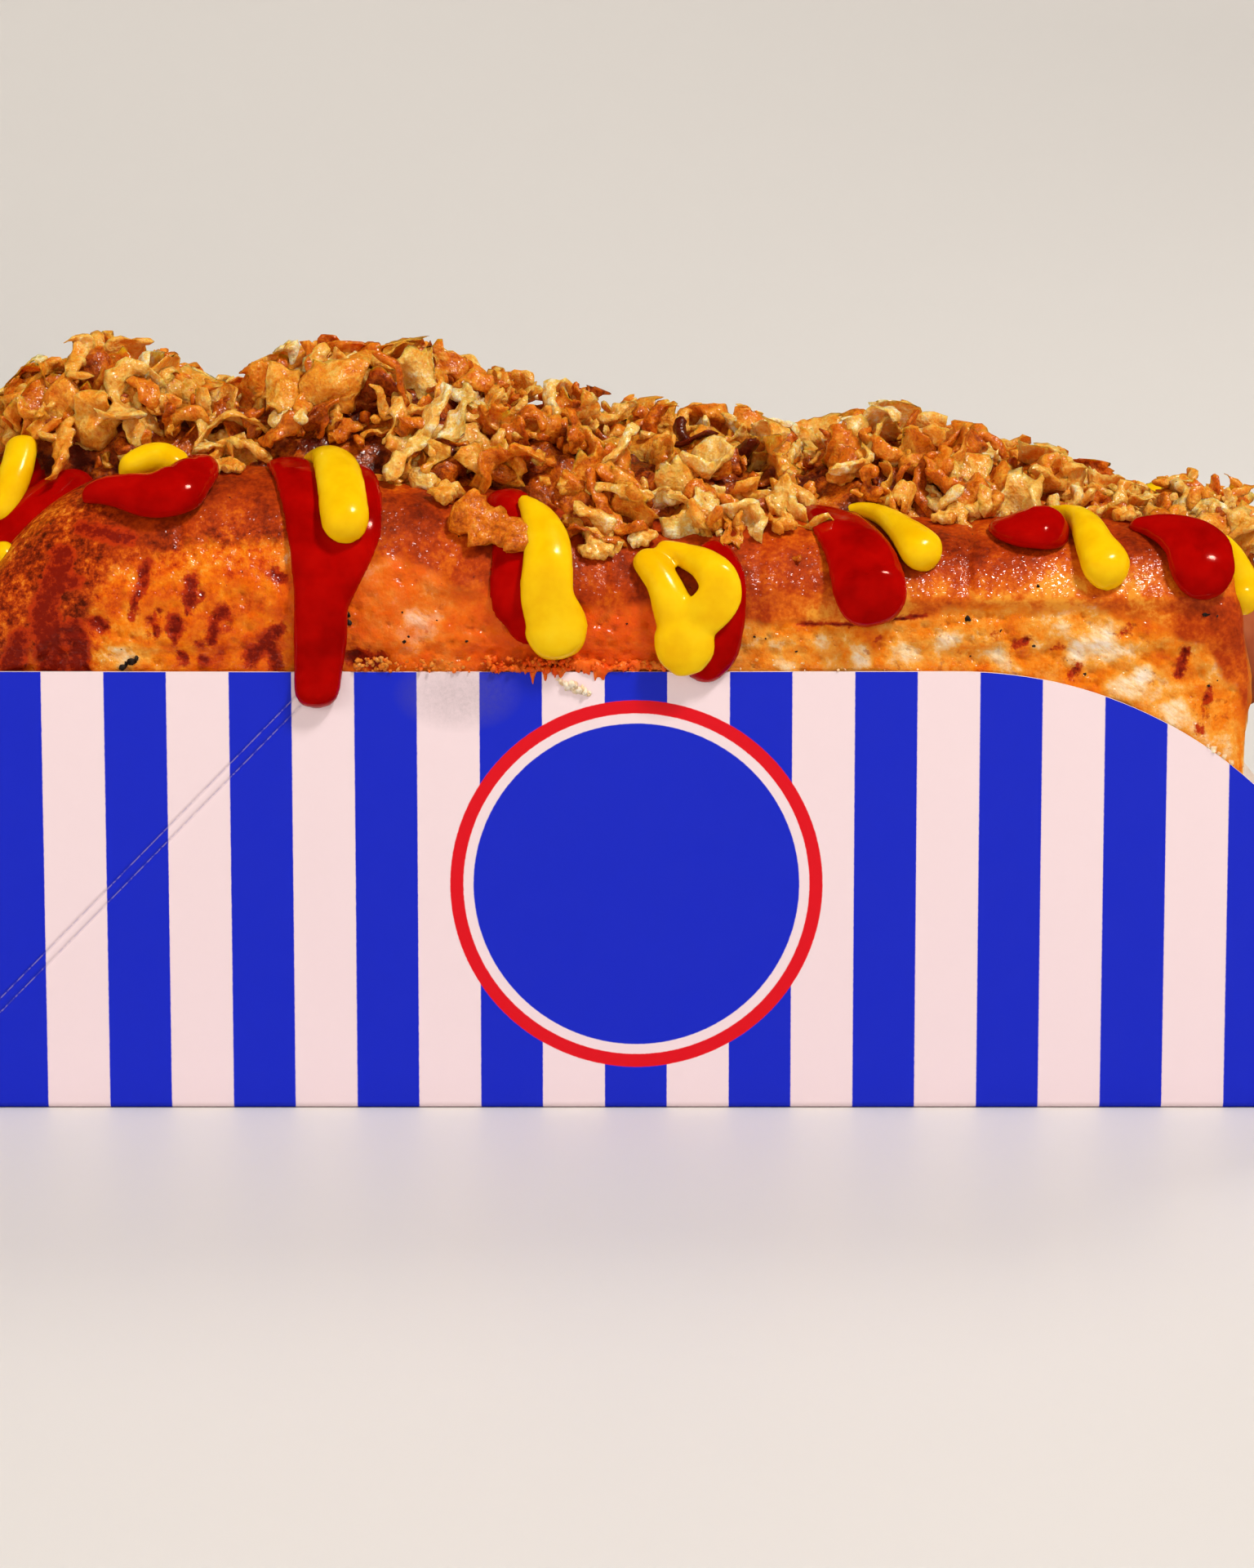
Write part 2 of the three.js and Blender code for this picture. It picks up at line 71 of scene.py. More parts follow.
camera = bpy.data.objects.new("camera", bpy.data.cameras.new("camera"))
bpy.context.scene.collection.objects.link(camera)
back = VIEW["distance"] * math.cos(VIEW["down"])
up = VIEW["distance"] * math.sin(VIEW["down"])
camera.location = Vector(VIEW["target"]) * MM + Vector((0, -back, up)) * MM
camera.rotation_euler = (math.pi / 2 - VIEW["down"], 0, 0)
camera.data.sensor_width = SENSOR_MM
camera.data.lens = SENSOR_MM * FOCAL_PX / FRAME_HEIGHT_PX
bpy.context.scene.camera = camera
print("lens", round(camera.data.lens, 1), "mm")


# %% Helpers for nodes and colours
def linear(hex_colour):
    """An sRGB hex colour as the linear colour that Blender works in."""
    parts = [int(hex_colour[at:at + 2], 16) / 255 for at in (1, 3, 5)]
    return [c / 12.92 if c <= 0.04045 else ((c + 0.055) / 1.055) ** 2.4 for c in parts] + [1.0]


def add(tree, kind, inputs=None, stops=None, output=0, **settings):
    """Adds one shader node and gives back one of its outputs.

    inputs are values, or the outputs of other nodes that feed it. stops fill a colour ramp.
    """
    made = tree.nodes.new("ShaderNode" + kind)
    for name, value in settings.items():
        setattr(made, name, value)
    for name, value in (inputs or {}).items():
        if isinstance(value, bpy.types.NodeSocket):
            tree.links.new(value, made.inputs[name])
        else:
            made.inputs[name].default_value = value
    for number, (place, colour) in enumerate(stops or []):
        elements = made.color_ramp.elements
        element = elements[number] if number < 2 else elements.new(place)
        element.position = place
        element.color = linear(colour)
    return made.outputs[output]


def new_material(name):
    """An empty material and its tree of nodes."""
    material = bpy.data.materials.new(name)
    material.use_nodes = True
    material.node_tree.nodes.clear()
    return material, material.node_tree


def finish_material(tree, **inputs):
    """Joins a Principled shader with these inputs to the output. An underscore stands for a space."""
    named = {name.replace("_", " "): value for name, value in inputs.items()}
    surface = tree.nodes.new("ShaderNodeOutputMaterial").inputs["Surface"]
    tree.links.new(add(tree, "BsdfPrincipled", named), surface)


print("mid grey in linear light:", round(linear("#808080")[0], 3))


# %% Floor and lamps
BOWL = {"floor": 750.0, "sweep": 900.0, "wall": 2400.0, "sides": 96}

floor_paint, tree = new_material("matte studio paint")
finish_material(tree, Base_Color=linear("#E2DFDB"), Roughness=0.5)

turn = np.linspace(0, math.pi / 2, 24)
bowl_radius = [*(BOWL["floor"] + BOWL["sweep"] * np.sin(turn)), BOWL["floor"] + BOWL["sweep"]]
bowl_height = [*(BOWL["sweep"] * (1 - np.cos(turn))), BOWL["wall"]]
bowl_points = []
for radius, height in zip(bowl_radius, bowl_height):
    for angle in np.linspace(0, 2 * math.pi, BOWL["sides"], endpoint=False):
        bowl_points.append((radius * math.cos(angle) * MM, radius * math.sin(angle) * MM, height * MM))
bowl_faces = [tuple(range(BOWL["sides"]))]
for first in range(0, len(bowl_points) - BOWL["sides"], BOWL["sides"]):
    for side in range(BOWL["sides"]):
        low, next_low = first + side, first + (side + 1) % BOWL["sides"]
        bowl_faces.append((low + BOWL["sides"], next_low + BOWL["sides"], next_low, low))
bowl = bpy.data.meshes.new("floor")
bowl.from_pydata(bowl_points, [], bowl_faces)
bowl.shade_smooth()
bowl.materials.append(floor_paint)
floor = bpy.data.objects.new("floor", bowl)
bpy.context.scene.collection.objects.link(floor)
floor.visible_glossy = False

# Each wash lights its own side of the bowl, in a beam too narrow to reach the hot dog.
LAMP_COLOUR = linear("#FFFAF5")[:3]
LAMPS = {
    "key": {"at": (560, -620, 1240), "aim": (0, -10, 45), "size": 250, "watts": 15.9, "spread": 180},
    "left_fill": {"at": (-900, -700, 420), "aim": (0, 0, 40), "size": 420, "watts": 3.0, "spread": 180},
    "back_rim": {"at": (250, 700, 640), "aim": (0, 0, 60), "size": 300, "watts": 3.0, "spread": 180},
}
for name, (across, away) in {"back": (0, 1), "front": (0, -1), "left": (-1, 0), "right": (1, 0)}.items():
    spots = {"at": (500 * across, 500 * away, 1500), "aim": (1500 * across, 1500 * away, 200)}
    LAMPS[name + "_wash"] = spots | {"size": 600, "watts": 2.3, "spread": 90}
for name, lamp in LAMPS.items():
    light = bpy.data.lights.new(name, "AREA")
    light.shape = "DISK"
    light.size = lamp["size"] * MM
    light.energy = lamp["watts"]
    light.spread = math.radians(lamp["spread"])
    light.color = LAMP_COLOUR
    holder = bpy.data.objects.new(name, light)
    holder.location = Vector(lamp["at"]) * MM
    toward = Vector(lamp["aim"]) - Vector(lamp["at"])
    holder.rotation_euler = toward.to_track_quat("-Z", "Y").to_euler()
    holder.visible_glossy = name == "key"
    bpy.context.scene.collection.objects.link(holder)

world = bpy.data.worlds.new("pale sky")
world.use_nodes = True
world.node_tree.nodes["Background"].inputs["Color"].default_value = linear("#F4F2F0")
world.node_tree.nodes["Background"].inputs["Strength"].default_value = 0.1
world.cycles_visibility.glossy = False
bpy.context.scene.world = world
bpy.context.scene.view_settings.view_transform = "Standard"
print(len(LAMPS), "lamps")

# %% [markdown]
# ## Uneven surfaces
# Bread, batter and sauce are never smooth. Blender can displace a surface with a texture modifier, but
# the same few lines of arithmetic then have to drive both the shape and the browning, so this lesson
# keeps the noise in numpy: one smooth noise, the same noise in layers, and a cell noise for the pores
# of bread. Each gives the same numbers on every run.


# %% Noise
def corner_value(ix, iy, iz, seed):
    """A fixed number from 0 to 1 for each whole-numbered corner of space."""
    mixed = (ix * 374761393 + iy * 668265263 + iz * 1440662683 + seed * 1274126177) & 0xFFFFFFFF
    mixed = ((mixed ^ (mixed >> 13)) * 1274126177) & 0xFFFFFFFF
    return ((mixed ^ (mixed >> 16)) & 0xFFFFFF) / 0xFFFFFF


def smooth(share):
    """A ramp from 0 to 1 that is flat at both ends."""
    share = np.clip(share, 0, 1)
    return share * share * (3 - 2 * share)


def ridge(away, width):
    """1 where away is 0, and next to nothing two widths off."""
    return np.exp(-((away / width) ** 2))


def lumps(points, size, seed=0):
    """Smooth noise from -1 to 1 with lumps about size mm across."""
    scaled = np.asarray(points, float) / size
    cell = np.floor(scaled).astype(np.int64)
    part = smooth(scaled - cell)
    total = 0
    for corner in np.ndindex(2, 2, 2):
        weight = np.prod(np.where(corner, part, 1 - part), axis=-1)
        total = total + weight * corner_value(*(cell + corner).T, seed)
    return 2 * total - 1


def rough(points, size, layers, seed=0):
    """Layers of lumps, each half the size and half the strength of the last, turned a little."""
    turn = np.array([[0.8, 0.36, 0.48], [-0.6, 0.48, 0.64], [0.0, -0.8, 0.6]])
    total = 0
    for layer in range(layers):
        total = total + lumps(points, size / 2**layer, seed + layer) / 2**layer
        points = np.asarray(points, float) @ turn.T
    return total / (2 - 2 ** (1 - layers))


def pores(points, size, seed=0):
    """Distance to the nearest of scattered points, 0 at a point and about 1 between them."""
    scaled = np.asarray(points, float) / size
    cell = np.floor(scaled).astype(np.int64)
    nearest = np.full(len(scaled), 9.0)
    for step in np.ndindex(3, 3, 3):
        near = cell + np.array(step) - 1
        jitter = np.stack([corner_value(*near.T, seed + axis) for axis in range(3)], axis=-1)
        nearest = np.minimum(nearest, np.linalg.norm(near + jitter - scaled, axis=-1))
    return nearest


print("noise at one spot:", round(float(rough([[1.0, 2.0, 3.0]], 5, 3)[0]), 3))


# %% Mesh helpers
def grid_faces(rows, columns, closed=False, first=0):
    """The four-sided faces of a grid of points, row after row, its rows closed in a ring or open."""
    row, column = np.meshgrid(np.arange(rows - 1), np.arange(columns - (not closed)), indexing="ij")
    across = (column + 1) % columns
    corners = [row * columns + column, row * columns + across]
    corners += [(row + 1) * columns + across, (row + 1) * columns + column]
    return np.stack(corners, axis=-1).reshape(-1, 4) + first


def put_values(mesh, name, values):
    """Stores one number for each point of a mesh, which a material can read by name."""
    attribute = mesh.attributes.get(name) or mesh.attributes.new(name, "FLOAT", "POINT")
    attribute.data.foreach_set("value", np.asarray(values, np.float32))


def normals_of(mesh):
    """The way out at each point of a mesh."""
    found = np.empty(len(mesh.vertices) * 3, np.float32)
    mesh.vertex_normals.foreach_get("vector", found)
    return found.reshape(-1, 3).astype(float)


def points_of(mesh):
    """The points of a mesh, in millimetres."""
    found = np.empty(len(mesh.vertices) * 3, np.float32)
    mesh.vertices.foreach_get("co", found)
    return found.reshape(-1, 3).astype(float) / MM


def set_points(mesh, points):
    """Moves a mesh's points to these, in millimetres."""
    mesh.vertices.foreach_set("co", (np.asarray(points) * MM).astype(np.float32).ravel())
    mesh.update()


def make_mesh(name, points, faces):
    """A smooth-shaded mesh from points in millimetres."""
    mesh = bpy.data.meshes.new(name)
    mesh.from_pydata((np.asarray(points, float) * MM).tolist(), [], [list(map(int, f)) for f in faces])
    mesh.validate()
    mesh.shade_smooth()
    return mesh


def make_piece(mesh, slot, replaced, *materials):
    """Puts a finished mesh in the scene as a piece of the hot dog."""
    for material in materials:
        mesh.materials.append(material)
    piece = bpy.data.objects.new(mesh.name, mesh)
    bpy.context.scene.collection.objects.link(piece)
    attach(piece, "root")
    if replaced:
        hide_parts(replaced)
    triangles = sum(len(polygon.vertices) - 2 for polygon in mesh.polygons)
    print(f"{mesh.name}: {triangles} triangles")


# %% [markdown]
# ## The form of the roll
# A split-top roll is baked side against side, so its two long faces are torn, pale crumb with no crust,
# and only its top, its underside and its ends are browned. Its half profile runs from the middle of
# the underside round the long face, over the crest and down into the split. Lofting that one profile
# along the roll gives a mesh with its points where they are needed, which a remesh would not.

# %% Sizes of the roll, the sausage and the case
CASE = {"length": 170.0, "width": 52.0, "height": 50.0, "board": 0.5, "fold": 0.8}
ROLL = {
    "left": -78.0, "right": 68.0, "bottom": 0.85, "half_width": 25.15, "corner": 6.0,
    "bulge": 1.3, "bulge_height": 55.0, "crest_y": 13.5, "lip_y": 10.2, "lip_drop": 4.5,
    "end_crest": 38.0, "end_width": 0.72, "end_lift": 9.0,
}
ROLL_ENDS = {"left": {"round": 22.0, "least": 0.3}, "right": {"round": 7.0, "least": 0.62}}
CREST = [(-78, 70), (-62, 71.5), (-42, 71.5), (-20, 69.5), (5, 67), (38, 66), (68, 65)]
SAUSAGE = {"radius": 11.8, "height": 52.5, "left": -80.0, "right": 77.0, "droop": 1.5}
SEAT_RADIUS = SAUSAGE["radius"] + 0.7
print("roll", ROLL["right"] - ROLL["left"], "mm long in a case of", CASE["length"], "mm")


def along(table, x):
    """The smooth value at x of a list of (x, value)."""
    places, values = np.array(table, float).T
    x = np.asarray(x, float)
    start = np.clip(np.searchsorted(places, x, side="right") - 1, 0, len(places) - 2)
    share = smooth((x - places[start]) / (places[start + 1] - places[start]))
    return values[start] + (values[start + 1] - values[start]) * share


def fullness(x):
    """How full the loaf is at x: 1 along its middle, less at its rounded ends."""
    share = 1
    for inward, end in ((x - ROLL["left"], ROLL_ENDS["left"]), (ROLL["right"] - x, ROLL_ENDS["right"])):
        bow = np.sqrt(1 - np.clip(1 - inward / end["round"], 0, 1) ** 2)
        share = share * (end["least"] + (1 - end["least"]) * bow)
    return share


def crest_height(x):
    """Height of the roll's two crests at x."""
    return ROLL["end_crest"] + (along(CREST, x) - ROLL["end_crest"]) * fullness(x)


def taper(x):
    """How wide the roll is at x: 1 along its middle, less at its ends."""
    return ROLL["end_width"] + (1 - ROLL["end_width"]) * fullness(x)


def sausage_axis(x):
    """Height of the sausage's middle line at x."""
    half = (SAUSAGE["right"] - SAUSAGE["left"]) / 2
    offset = (x - (SAUSAGE["left"] + SAUSAGE["right"]) / 2) / half
    return SAUSAGE["height"] - SAUSAGE["droop"] * offset**2


def split_wall(x, z):
    """Half the width of the split at height z: round under the sausage, narrower at its mouth."""
    axis = sausage_axis(x)
    above = SEAT_RADIUS - (SEAT_RADIUS - ROLL["lip_y"]) * np.clip((z - axis) / 9, 0, 1)
    below = np.sqrt(np.clip(SEAT_RADIUS**2 - (axis - z) ** 2, 0, None))
    return np.where(z >= axis, above, below)


# %% The half profile
PROFILE_STEPS = {"under": 6, "corner": 6, "wall": 14, "rim": 26, "shoulder": 52, "lip": 14, "split": 20}
CREST_STEP = sum(PROFILE_STEPS[part] for part in ("under", "corner", "wall", "rim", "shoulder"))


def half_profile(x):
    """y and z of the half profile at each x, as arrays with a row for each x."""
    x = np.atleast_1d(np.asarray(x, float))[:, None]
    crest = crest_height(x)
    bottom = ROLL["bottom"] + ROLL["end_lift"] * (1 - fullness(x))
    side = ROLL["half_width"] * taper(x)
    rim = np.minimum(CASE["height"], crest - 9)
    shoulder = np.minimum(ROLL["bulge_height"], crest - 6)
    lip_z = crest - ROLL["lip_drop"]
    lip_y = split_wall(x, lip_z)
    crest_y = np.maximum(ROLL["crest_y"] * taper(x), lip_y + 2.5)

    def wall_y(z):
        swell = smooth((z - CASE["height"] + 1) / 5)
        return (ROLL["half_width"] + ROLL["bulge"] * swell) * taper(x)

    share = {part: np.linspace(0, 1, steps, endpoint=False)[None] for part, steps in PROFILE_STEPS.items()}
    corner = share["corner"] * math.pi / 2
    wall_z = bottom + ROLL["corner"] + (rim - 4 - bottom - ROLL["corner"]) * share["wall"]
    rim_z = rim - 4 + (shoulder - rim + 4) * share["rim"]
    rise = share["shoulder"] * math.pi / 2
    dip = share["lip"] * math.pi / 2
    down = np.linspace(0, 1, PROFILE_STEPS["split"])[None]
    split_z = lip_z + (sausage_axis(x) - SEAT_RADIUS - lip_z) * (1 - (1 - down) ** 1.7)
    ys = [(side - ROLL["corner"]) * share["under"]]
    ys += [side - ROLL["corner"] * (1 - np.sin(corner)), side + 0 * wall_z, wall_y(rim_z)]
    ys += [crest_y + (wall_y(shoulder) - crest_y) * np.cos(rise)]
    ys += [crest_y - (crest_y - lip_y) * np.sin(dip), split_wall(x, split_z) * (down < 1)]
    zs = [bottom + 0 * share["under"], bottom + ROLL["corner"] * (1 - np.cos(corner)), wall_z, rim_z]
    zs += [shoulder + (crest - shoulder) * np.sin(rise), lip_z + ROLL["lip_drop"] * np.cos(dip), split_z]
    return np.concatenate(ys, axis=1), np.concatenate(zs, axis=1)


def face_point(x, arc, side):
    """The point and the outward direction on the roll, arc mm down its outer face from the crest."""
    y, z = (row[0] for row in half_profile(x))
    passed = np.concatenate([[0], np.cumsum(np.hypot(np.diff(y), np.diff(z)))])
    lengths = passed[CREST_STEP] - passed
    order = np.argsort(lengths)

    def at(place):
        return np.array([np.interp(place, lengths[order], row[order]) for row in (y, z)])

    here = at(arc)
    ahead = at(arc + 0.6) - at(arc - 0.6)
    out = np.array([-ahead[1], ahead[0]]) / np.linalg.norm(ahead)
    return np.array([x, side * here[0], here[1]]), np.array([0, side * out[0], out[1]])


print("points round half the roll:", half_profile(0)[0].shape[1])


# %% The crust and the crumb
# Where the crust of the top ends on the front face and on the back face, as (x, height).
CRUST_EDGE_FRONT = [
    (-78, 44), (-70, 50), (-65, 55), (-58, 62.5), (-46, 64.5), (-36, 64), (-29, 62.2), (-18, 59), (-4, 57),
    (10, 55.8), (22, 55.4), (37, 57.3), (48, 57.5), (56, 55.8), (62, 53), (66, 48), (68, 44),
]
CRUST_EDGE_BACK = [(-78, 44), (-68, 52), (-58, 60), (-30, 60.5), (0, 57.5), (30, 57), (58, 56.5), (68, 47)]
STATIONS = 330
CAP_SPACING = 0.8


def roll_rings():
    """The closed rings of the roll and their places, close together near its ends."""
    x = np.linspace(ROLL["left"], ROLL["right"], STATIONS)
    y, z = half_profile(x)
    ring_y = np.concatenate([-y, y[:, -2:0:-1]], axis=1)
    ring_z = np.concatenate([z, z[:, -2:0:-1]], axis=1)
    return np.stack([np.repeat(x[:, None], ring_y.shape[1], axis=1), ring_y, ring_z], axis=-1)


def end_cap(ring, offset, outward, first_new):
    """Points and faces that close one end. ring is its outline in (y, z), offset its first point."""
    low, high = ring.min(axis=0), ring.max(axis=0)
    inner_y, inner_z = np.meshgrid(*[np.arange(low[i], high[i], CAP_SPACING) for i in (0, 1)])
    inner = np.stack([inner_y.ravel(), inner_z.ravel()], axis=-1)
    inner += 0.3 * CAP_SPACING * (np.random.default_rng(4).random(inner.shape) - 0.5)
    clear = np.array([np.hypot(*(ring - p).T).min() > 0.55 * CAP_SPACING for p in inner])
    spots = np.concatenate([ring, inner[clear]])
    count = len(ring)
    outline = [(i, (i + 1) % count) for i in range(count)]
    found = delaunay_2d_cdt([Vector(p) for p in spots], outline, [], 1, 1e-6)
    at, faces, came_from = found[0], found[2], found[3]
    number, extra = {}, []
    for i, sources in enumerate(came_from):
        on_ring = [source for source in sources if source < count]
        if on_ring:
            number[i] = offset + on_ring[0]
        else:
            number[i] = first_new + len(extra)
            extra.append(tuple(at[i]))
    turned = [[number[i] for i in (face if outward > 0 else face[::-1])] for face in faces]
    return np.array(extra), turned


rings = roll_rings()
ring_size = rings.shape[1]
points = rings.reshape(-1, 3)
faces = [face[::-1] for face in grid_faces(STATIONS, ring_size, closed=True).tolist()]
for end, outward in ((0, -1), (STATIONS - 1, 1)):
    cap_points, cap_faces = end_cap(rings[end][:, 1:], end * ring_size, outward, len(points))
    x = np.full((len(cap_points), 1), rings[end][0, 0])
    points = np.concatenate([points, np.concatenate([x, cap_points], axis=1)])
    faces += cap_faces
roll_mesh = make_mesh("split_top_roll", points, faces)
print("roll points:", len(points))

# %% [markdown]
# ## Browning and tearing
# What tells crust from crumb is drawn once, as numbers on the points: how much crust, how toasted, how
# roasted, how torn, how wet and how soaked with ketchup each point is. The same numbers then push the
# points in and out and, later, choose the colours, so a dark scorch mark is also a shallow dent.

# %% Where the roll is crust
x, y, z = points.T
inside_split = (np.abs(y) < split_wall(x, z) + 1.2) & (z < crest_height(x) - 2.5)
inside_split &= z > sausage_axis(x) - SEAT_RADIUS - 1
edge = np.where(y < 0, along(CRUST_EDGE_FRONT, x), along(CRUST_EDGE_BACK, x))
ragged = 1.3 * rough(points, 5, 3, seed=3) + 0.5 * rough(points, 1.2, 2, seed=5)
crust = smooth((z - edge + ragged) / 1.3 + 0.5)
crust = np.maximum(crust, smooth((7 - z + ragged) / 2))
at_left = smooth((-72 - x) / 5)
crust = np.maximum(crust, at_left)
at_right = smooth((x - ROLL["right"] + 0.5) / 0.4)
crust *= 1 - at_right * smooth((62 - z + ragged) / 3) * smooth((24 - np.abs(y)) / 3)
crust = np.where(inside_split, 0, crust)
print("crust covers", round(float(crust.mean()), 2), "of the roll's points")

# %% Scorch marks and toasting
# The griddle scorched the left of the front face in ragged, leaning streaks, as (x, z) at one end,
# (x, z) at the other and half the width.
STREAKS = [
    (-55.7, 62.3, -56.5, 59.3, 0.55), (-56.5, 59.3, -57.7, 56.0, 0.5), (-50.7, 60.2, -51.1, 57.9, 0.8),
    (-51.2, 58.0, -51.4, 56.6, 0.3), (-49.4, 58.8, -49.6, 58.5, 0.3), (-52.6, 56.1, -52.8, 54.4, 0.75),
    (-52.8, 54.4, -52.8, 52.9, 0.4), (-52.3, 51.9, -51.8, 51.2, 0.6), (-54.4, 57.1, -55.6, 55.8, 0.2),
    (-55.6, 55.8, -55.7, 53.9, 0.2), (-54.9, 54.9, -54.8, 54.1, 0.4), (-47.0, 56.9, -47.8, 56.2, 0.9),
    (-48.0, 55.8, -48.8, 53.2, 0.5), (-50.4, 53.2, -49.8, 52.6, 0.5), (-46.7, 55.2, -46.8, 54.6, 0.25),
    (-61.9, 55.7, -60.7, 55.3, 0.7), (-61.2, 55.2, -61.0, 54.4, 0.4), (-44.2, 51.6, -41.2, 54.6, 0.9),
    (-42.0, 52.8, -41.4, 50.8, 0.9), (-41.6, 61.2, -40.6, 60.6, 0.5), (-50.0, 51.2, -49.4, 50.9, 0.3),
    (-65.4, 62.5, -67.4, 56.5, 1.5), (-67.2, 56.0, -66.6, 50.0, 1.8), (-64.2, 54.6, -63.6, 50.0, 1.4),
    (-70.2, 53.4, -71.4, 50.0, 1.3), (-64.8, 59.8, -63.4, 60.2, 0.6), (-63.4, 65.6, -57.5, 64.8, 0.8),
    (-32.6, 51.4, -29.6, 50.6, 1.0), (42.6, 53.6, 41.2, 52.6, 0.3), (54.4, 55.0, 53.2, 54.2, 0.4),
    (60.6, 52.0, 59.8, 49.6, 0.4), (26.2, 53.8, 25.6, 53.2, 0.3), (46.2, 52.8, 45.6, 52.2, 0.25),
    (63.4, 48.0, 62.2, 43.5, 0.4), (39.6, 54.4, 38.8, 54.0, 0.25), (48.6, 50.2, 47.8, 49.4, 0.35),
]
scorch_and_groove_shade = np.zeros(len(points))
flecks = 0.5 * rough(points, 2.4, 3, seed=11) + 0.45 * rough(points, 0.9, 2, seed=13)
for start_x, start_z, end_x, end_z, half in STREAKS:
    way = np.array([end_x - start_x, end_z - start_z])
    share = np.clip(((x - start_x) * way[0] + (z - start_z) * way[1]) / (way @ way), 0, 1)
    away = np.hypot(x - start_x - share * way[0], z - start_z - share * way[1])
    scorch_and_groove_shade = np.maximum(scorch_and_groove_shade, smooth((half - away + 0.8 * flecks + 0.7) / 1.4))
scorch_and_groove_shade = np.where(y < 0, scorch_and_groove_shade, smooth((flecks - 0.34) / 0.2) * smooth((-x - 25) / 20))
griddled = smooth((-30 - x) / 12) * (y < 0)
griddled = np.maximum(griddled, 0.5 * smooth((-x - 10) / 60) * (y > 0))
toast = 0.50 + 0.22 * rough(points, 9, 3, seed=21) + 0.14 * rough(points, 2.2, 2, seed=23)
toast += griddled * (0.12 + 0.2 * flecks)
toast = np.where(inside_split, 0.06, np.clip(toast, 0.03, 1))
print(len(STREAKS), "scorch marks")

# %% Torn patches
# Torn, fluffy patches show where the roll was pulled from its neighbour.
# As (x, height, radius, strength).
TORN_PATCHES = [
    (50.5, 52.8, 3.4, 1), (55.5, 48.6, 3.2, 0.9), (33.8, 53.4, 2.4, 0.9), (-25, 56, 2.4, 0.75),
    (59.5, 44.5, 2.8, 0.85), (-58.0, 51.6, 2.6, 0.7), (-42.0, 54.8, 1.2, 0.35), (24.5, 51.6, 2.2, 0.8),
    (39.5, 51.2, 2.0, 0.7), (46.5, 55.4, 1.6, 0.8), (29.0, 51.4, 2.2, 0.8), (20.0, 53.6, 1.4, 0.5),
    (63.0, 40.5, 2.4, 0.7), (15.0, 51.0, 1.8, 0.6), (-50.5, 50.8, 1.6, 0.5),
]
torn = np.zeros(len(points))
for patch_x, patch_z, radius, strength in TORN_PATCHES:
    away = np.hypot((x - patch_x) / 1.6, z - patch_z) + 2.4 * rough(points, 2.0, 3, seed=31)
    torn = np.maximum(torn, strength * smooth((1.25 * radius - away) / (1.7 * radius)))
torn = np.maximum(torn, smooth((rough(points, 11, 3, seed=37) - 0.32) / 0.2) * (y > 0))
torn = np.maximum(torn, at_right * (0.5 + 0.45 * rough(points, 9, 3, seed=38)))
torn = torn * (1 - crust) * (1 - scorch_and_groove_shade) * ~inside_split
toast *= 1 - 0.8 * torn
print("torn crumb covers", round(float(torn.mean()), 2), "of the roll's points")

# %% Wet, golden and roasted places
# Ketchup has soaked the crumb below the crust in the middle of the front face.
soak = smooth((x + 46) / 12) * smooth((13 - x) / 9) * smooth((z - 48 + 2 * ragged) / 2)
soak = np.where(y < 0, soak * (0.75 + 0.25 * smooth((x + 24) / 12)), 0) * (1 - 0.6 * torn)

# Juice has run together in a thin wet line on the crust.
juice_z = along([(-31, 62.6), (-26, 61.4), (-22, 59.6), (-17, 58.9)], x)
juice = ridge(z - juice_z + 0.8 * lumps(points, 3, 39), 0.9) * smooth((x + 31) / 2)
juice *= smooth((-17 - x) / 2) * (y < 0)
# Where the top crust of the right half ends it is thin and golden, and a groove runs under it that is also
# painted dark, as painted shade.
thin_crust = (1 - smooth((z - edge) / 6)) * smooth((x + 4) / 14)
groove = ridge(z - edge + 0.4 * ragged, 0.28) * smooth((x - 15) / 3) * smooth((33 - x) / 3) * (y < 0)
# The egg wash is thickest along the brow of that crust and in a spot left of it, and lies in patches
# on the top and the back. The same mask also lightens the crust's colour: along the brow and in the
# spot that is a painted highlight, where the lamp's glare falls.
brow = ridge(z - 60.0, 2.0) * smooth((x - 19) / 6) * (y < 0)
spot = ridge(z - 58.2, 2.0) * smooth((x - 8) / 3) * smooth((24 - x) / 3) * (y < 0)
patches = 0.6 * smooth((rough(points, 8, 3, seed=40) - 0.1) / 0.3) * ((y > 0) | (z > 66))
brow = np.maximum(np.maximum(brow, spot), patches)
# This mask is thin golden crust, a painted highlight along the brow, and painted light that lightens the
# crust between x -44 and -18.
golden_and_painted_light = 0.24 * thin_crust + 0.16 * brow + 0.12 * smooth((-18 - x) / 8) * smooth((x + 44) / 6)
# Butter has fried the left of the crust, and the edge of the crumb below it, to dark and golden grains.
roasted = np.maximum(ridge(z - edge + 1.0, 3.0), smooth((-57 - x) / 5))
roasted *= smooth((-34 - x) / 6) * (y < 0)
print("soaked", round(float(soak.mean()), 3), "and roasted", round(float(roasted.mean()), 3))

# %% Relief of the roll
crumb = 1 - crust
pore = pores(points, 1.5, seed=41)
fine_pore = pores(points, 0.8, seed=42)
# Torn crumb has fibres that lean down to the right.
fibres = np.stack([0.35 * (0.8 * x - 0.6 * z), y, 0.6 * x + 0.8 * z], axis=-1)
fluff = rough(fibres, 1.2, 2, seed=43)
pitted = 0.45 * (1 - 0.7 * torn) * smooth((0.42 - pore) / 0.3)
relief = crumb * (0.4 * rough(points, 3.2, 3, seed=45) - pitted)
relief -= crumb * 0.22 * smooth((0.4 - fine_pore) / 0.3)
relief += torn * (0.45 * fluff + 0.1) - 0.25 * scorch_and_groove_shade * crumb
wrinkles = 0.05 * rough(points * [0.5, 1, 1], 1.6, 2, seed=49)
relief += crust * (0.25 * rough(points, 9, 2, seed=47) + wrinkles)
relief += 0.25 * crust * (1 - at_left) + 0.45 * juice - 0.5 * groove
